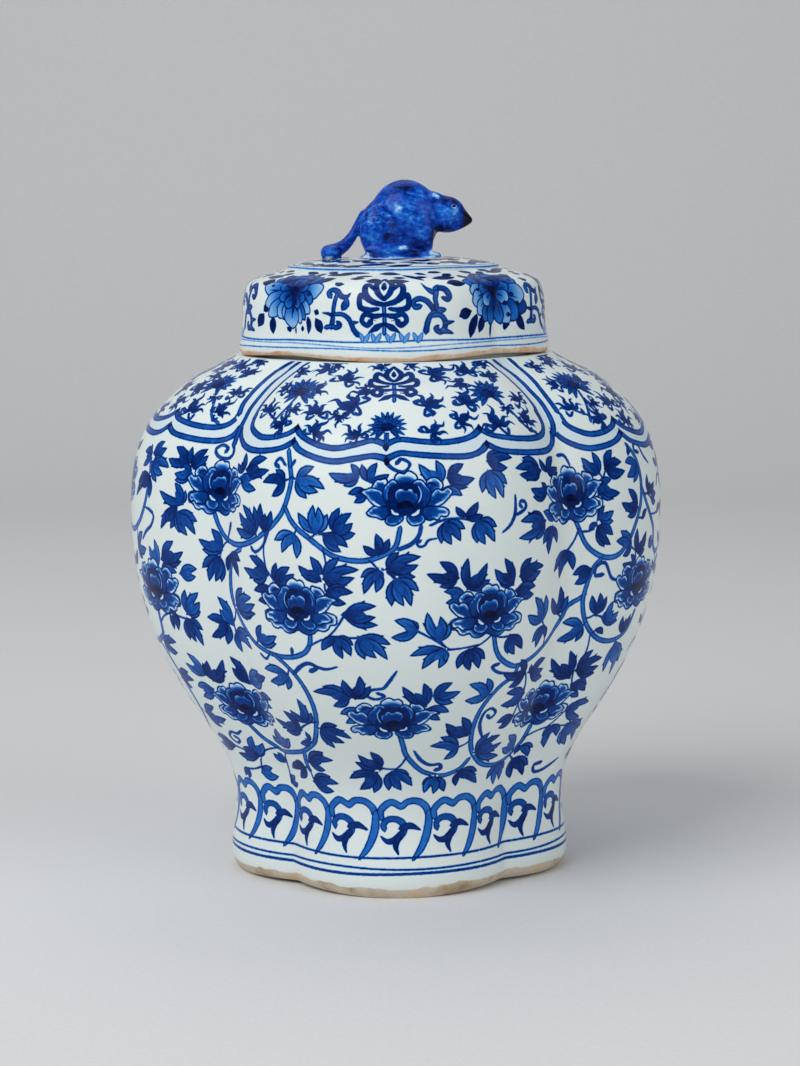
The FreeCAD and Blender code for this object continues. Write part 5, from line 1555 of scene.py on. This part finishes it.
def blue_glaze():
    """Cobalt glaze: deep and mottled, thin and pale on the paws, white where it ran at the base, with
    painted shade under the head and belly and in the creases, and violet patches of painted reflection.
    """
    haunch_middle, spotted_middle = (-9.5, 15, 375), (-8, 14, 379)
    base_height, ragged_base, base_softness = 356.4 * mm, 7 * mm, 2 * mm
    # The violet of the painted reflections on the blue glaze
    violet_reflection = linear(48, 72, 184)

    material, start = blank_material("blue_glaze")
    place = start.add("ShaderNodeTexCoord").beside("Object")
    x = place.split()
    z = x.beside(2)
    folded = start.add("ShaderNodeCombineXYZ", None, {0: x, 1: x.beside(1).size(), 2: z})

    def near(middle, radius, soft):
        """1 inside a ball about a place in mm, falling to 0 across its soft edge."""
        away = start.vector("DISTANCE", folded, [v * mm for v in middle], output=1)
        return ((radius + soft - away * 1000) / soft).clamp()

    mottle = place.noise(95, 5.0, 0.6) - 0.5
    streaks = place.vector("MULTIPLY", place, (0.5, 1, 1)).noise(520, 3.0, 0.6) - 0.5
    tone = 0.50 + mottle * 1.1 + streaks
    # A dark band, streaked by noise, round the front of the haunch: painted shade in the crease where the
    # haunch meets the body
    rim = near(haunch_middle, 10.5, 1.6) - near(haunch_middle, 7.6, 1.8)
    crease_shade_streaks = (place.noise(210, 3.0) * 2.6 - 0.7).clamp() * ((x + 9.5 * mm) / (6 * mm)).clamp()
    spots = start.add("ShaderNodeTexVoronoi", None, {"Vector": place, "Scale": 520.0, "Randomness": 0.9})
    dots = (3.0 - spots * 9.0).clamp() * near(spotted_middle, 7.0, 3.0)
    tone = tone + rim * crease_shade_streaks * 0.34 + dots * 0.5
    # Darker patches, partly the glaze's own and partly painted shade under the head and belly, in the
    # creases and along the top of the back
    tone = tone + sum(near(*patch) * strength for *patch, strength in glaze_and_shade_patches)
    pale = sum(near(*patch) * strength for *patch, strength in worn)
    pale = pale * (0.5 + place.noise(300, 3.0)).clamp()
    run = base_height - z + (place.noise(130, 3.0) - 0.5) * ragged_base
    pale = pale + (run / base_softness).clamp() * 0.9
    lids = near((35.0, 7.8, 385.4), 2.15, 0.4) * near((35.4, 7.8, 383.0), 2.15, 0.4)
    pupil = near((35.0, 7.9, 385.2), 1.55, 0.4) * near((35.4, 7.9, 383.2), 1.55, 0.4)
    tone = tone - pale * 0.62 - (lids - pupil) * 0.5 + pupil * 0.8
    # Violet patches, placed by noise, are painted reflection on the glaze
    painted_violet_reflection = (place.noise(70, 3.0) - 0.60).clamp() * 1.2
    ripple = start.add("ShaderNodeBump", None, {
        "Strength": 0.25, "Distance": 0.8 * mm, "Height": place.noise(150, 3.0) + place.noise(480) * 0.3})
    surfaced(start, {
        "Base Color": tone.ramp(glaze_stops).mix((*violet_reflection, 1), painted_violet_reflection),
        "Roughness": place.noise(200) * 0.16 + 0.20, "Normal": ripple, "Specular IOR Level": 0.16})
    return material


tail_eggs = []
for share in np.linspace(0, len(tail_path) - 1, 22):
    middle = [np.interp(share, range(len(tail_path)), axis) for axis in zip(*tail_path)]
    thick = np.interp(share, range(len(tail_path)), tail_thickness)
    tail_eggs.append((middle, (thick, thick, thick)))
rat_low, rat_high, rat_grain, rat_softness = (-44, -22, 352.5), (48, 22, 402), 0.5, 3.4 * mm
figure = soft_figure_tree(rat_eggs + tail_eggs, rat_low, rat_high, rat_grain)
clay = bpy.data.meshes.new("clay")
rat = made_mesh(clay, "rat_glazed", figure, Softness=rat_softness, Glaze=blue_glaze())
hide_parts("rat_body", "rat_head", "rat_ear_left", "rat_ear_right", "rat_hind_leg_left",
            "rat_hind_leg_right", "rat_fore_leg_left", "rat_fore_leg_right", "rat_tail", "rat_tail_curl")
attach(rat, "cover")

# The floor, the lamps and the camera: a pale sweep, a large soft lamp above and to
# the left, a weak fill from the right, and the camera at the height of the shoulder.
sweep_half, sweep_front, sweep_depth, sweep_bend, sweep_top = 6.5, 6.5, 1.9, 0.9, 3.0
bend_steps = 12
outline = [(-sweep_front, 0.0), (sweep_depth, 0.0)]
for step in range(1, bend_steps + 1):
    angle = math.pi / 2 * step / bend_steps
    outline.append((sweep_depth + sweep_bend * math.sin(angle), sweep_bend * (1 - math.cos(angle))))
outline.append((sweep_depth + sweep_bend, sweep_top))
points = [(x, y, z) for y, z in outline for x in (-sweep_half, sweep_half)]
faces = [(2 * i, 2 * i + 1, 2 * i + 3, 2 * i + 2) for i in range(len(outline) - 1)]
sweep_mesh = bpy.data.meshes.new("sweep")
sweep_mesh.from_pydata(points, [], faces)
sweep_mesh.polygons.foreach_set("use_smooth", [True] * len(faces))
sweep = placed("sweep", sweep_mesh)
paper, start = blank_material("paper_sweep")
fibres = start.add("ShaderNodeTexCoord").beside("Object").noise(340.0, 4.0)
paper_stops = [(0.3, (0.72, 0.725, 0.73)), (0.7, (0.76, 0.765, 0.77))]
surfaced(start, {"Base Color": fibres.ramp(paper_stops), "Roughness": fibres * 0.1 + 0.8})
sweep_mesh.materials.append(paper)


def soft_lamp(name, place, aim, width, height, power):
    """A square soft lamp at place, turned towards aim."""
    lamp = bpy.data.lights.new(name, "AREA")
    lamp.shape = "RECTANGLE"
    lamp.size, lamp.size_y, lamp.energy = width, height, power
    holder = placed(name, lamp)
    holder.location = place
    holder.rotation_euler = (Vector(aim) - Vector(place)).to_track_quat("-Z", "Y").to_euler()


soft_lamp("key_lamp", (-1.7, -1.9, 2.3), (0, 0, 0.15), 2.4, 2.4, 74)
soft_lamp("fill_lamp", (2.2, -1.7, 1.3), (0, 0, 0.2), 2.0, 2.0, 24)
soft_lamp("top_lamp", (-0.4, 0.9, 2.6), (0, 0, 0.2), 2.6, 2.0, 15)

world = bpy.data.worlds.new("studio")
bpy.context.scene.world = world
world.use_nodes = True
world.node_tree.nodes.clear()
start = Wire(world.node_tree)
start.add("ShaderNodeOutputWorld", None, {"Surface": start.add("ShaderNodeBackground", None, {
    "Color": (0.90, 0.94, 1.0, 1), "Strength": 0.20})})

focal_pixels, picture_width, film_width = 3100, 1066, 36
camera_place, looking_down, tilt = (0.0046, -1.7946, 0.4145), 6.98, 0.6
camera = bpy.data.cameras.new("camera")
camera.lens = focal_pixels / picture_width * film_width
camera.sensor_width = film_width
camera.clip_end = 20
camera_holder = placed("camera", camera)
camera_holder.location = camera_place
camera_holder.rotation_euler = (math.radians(90 - looking_down), math.radians(tilt), 0)
bpy.context.scene.camera = camera_holder
bpy.context.scene.view_settings.view_transform = "Standard"
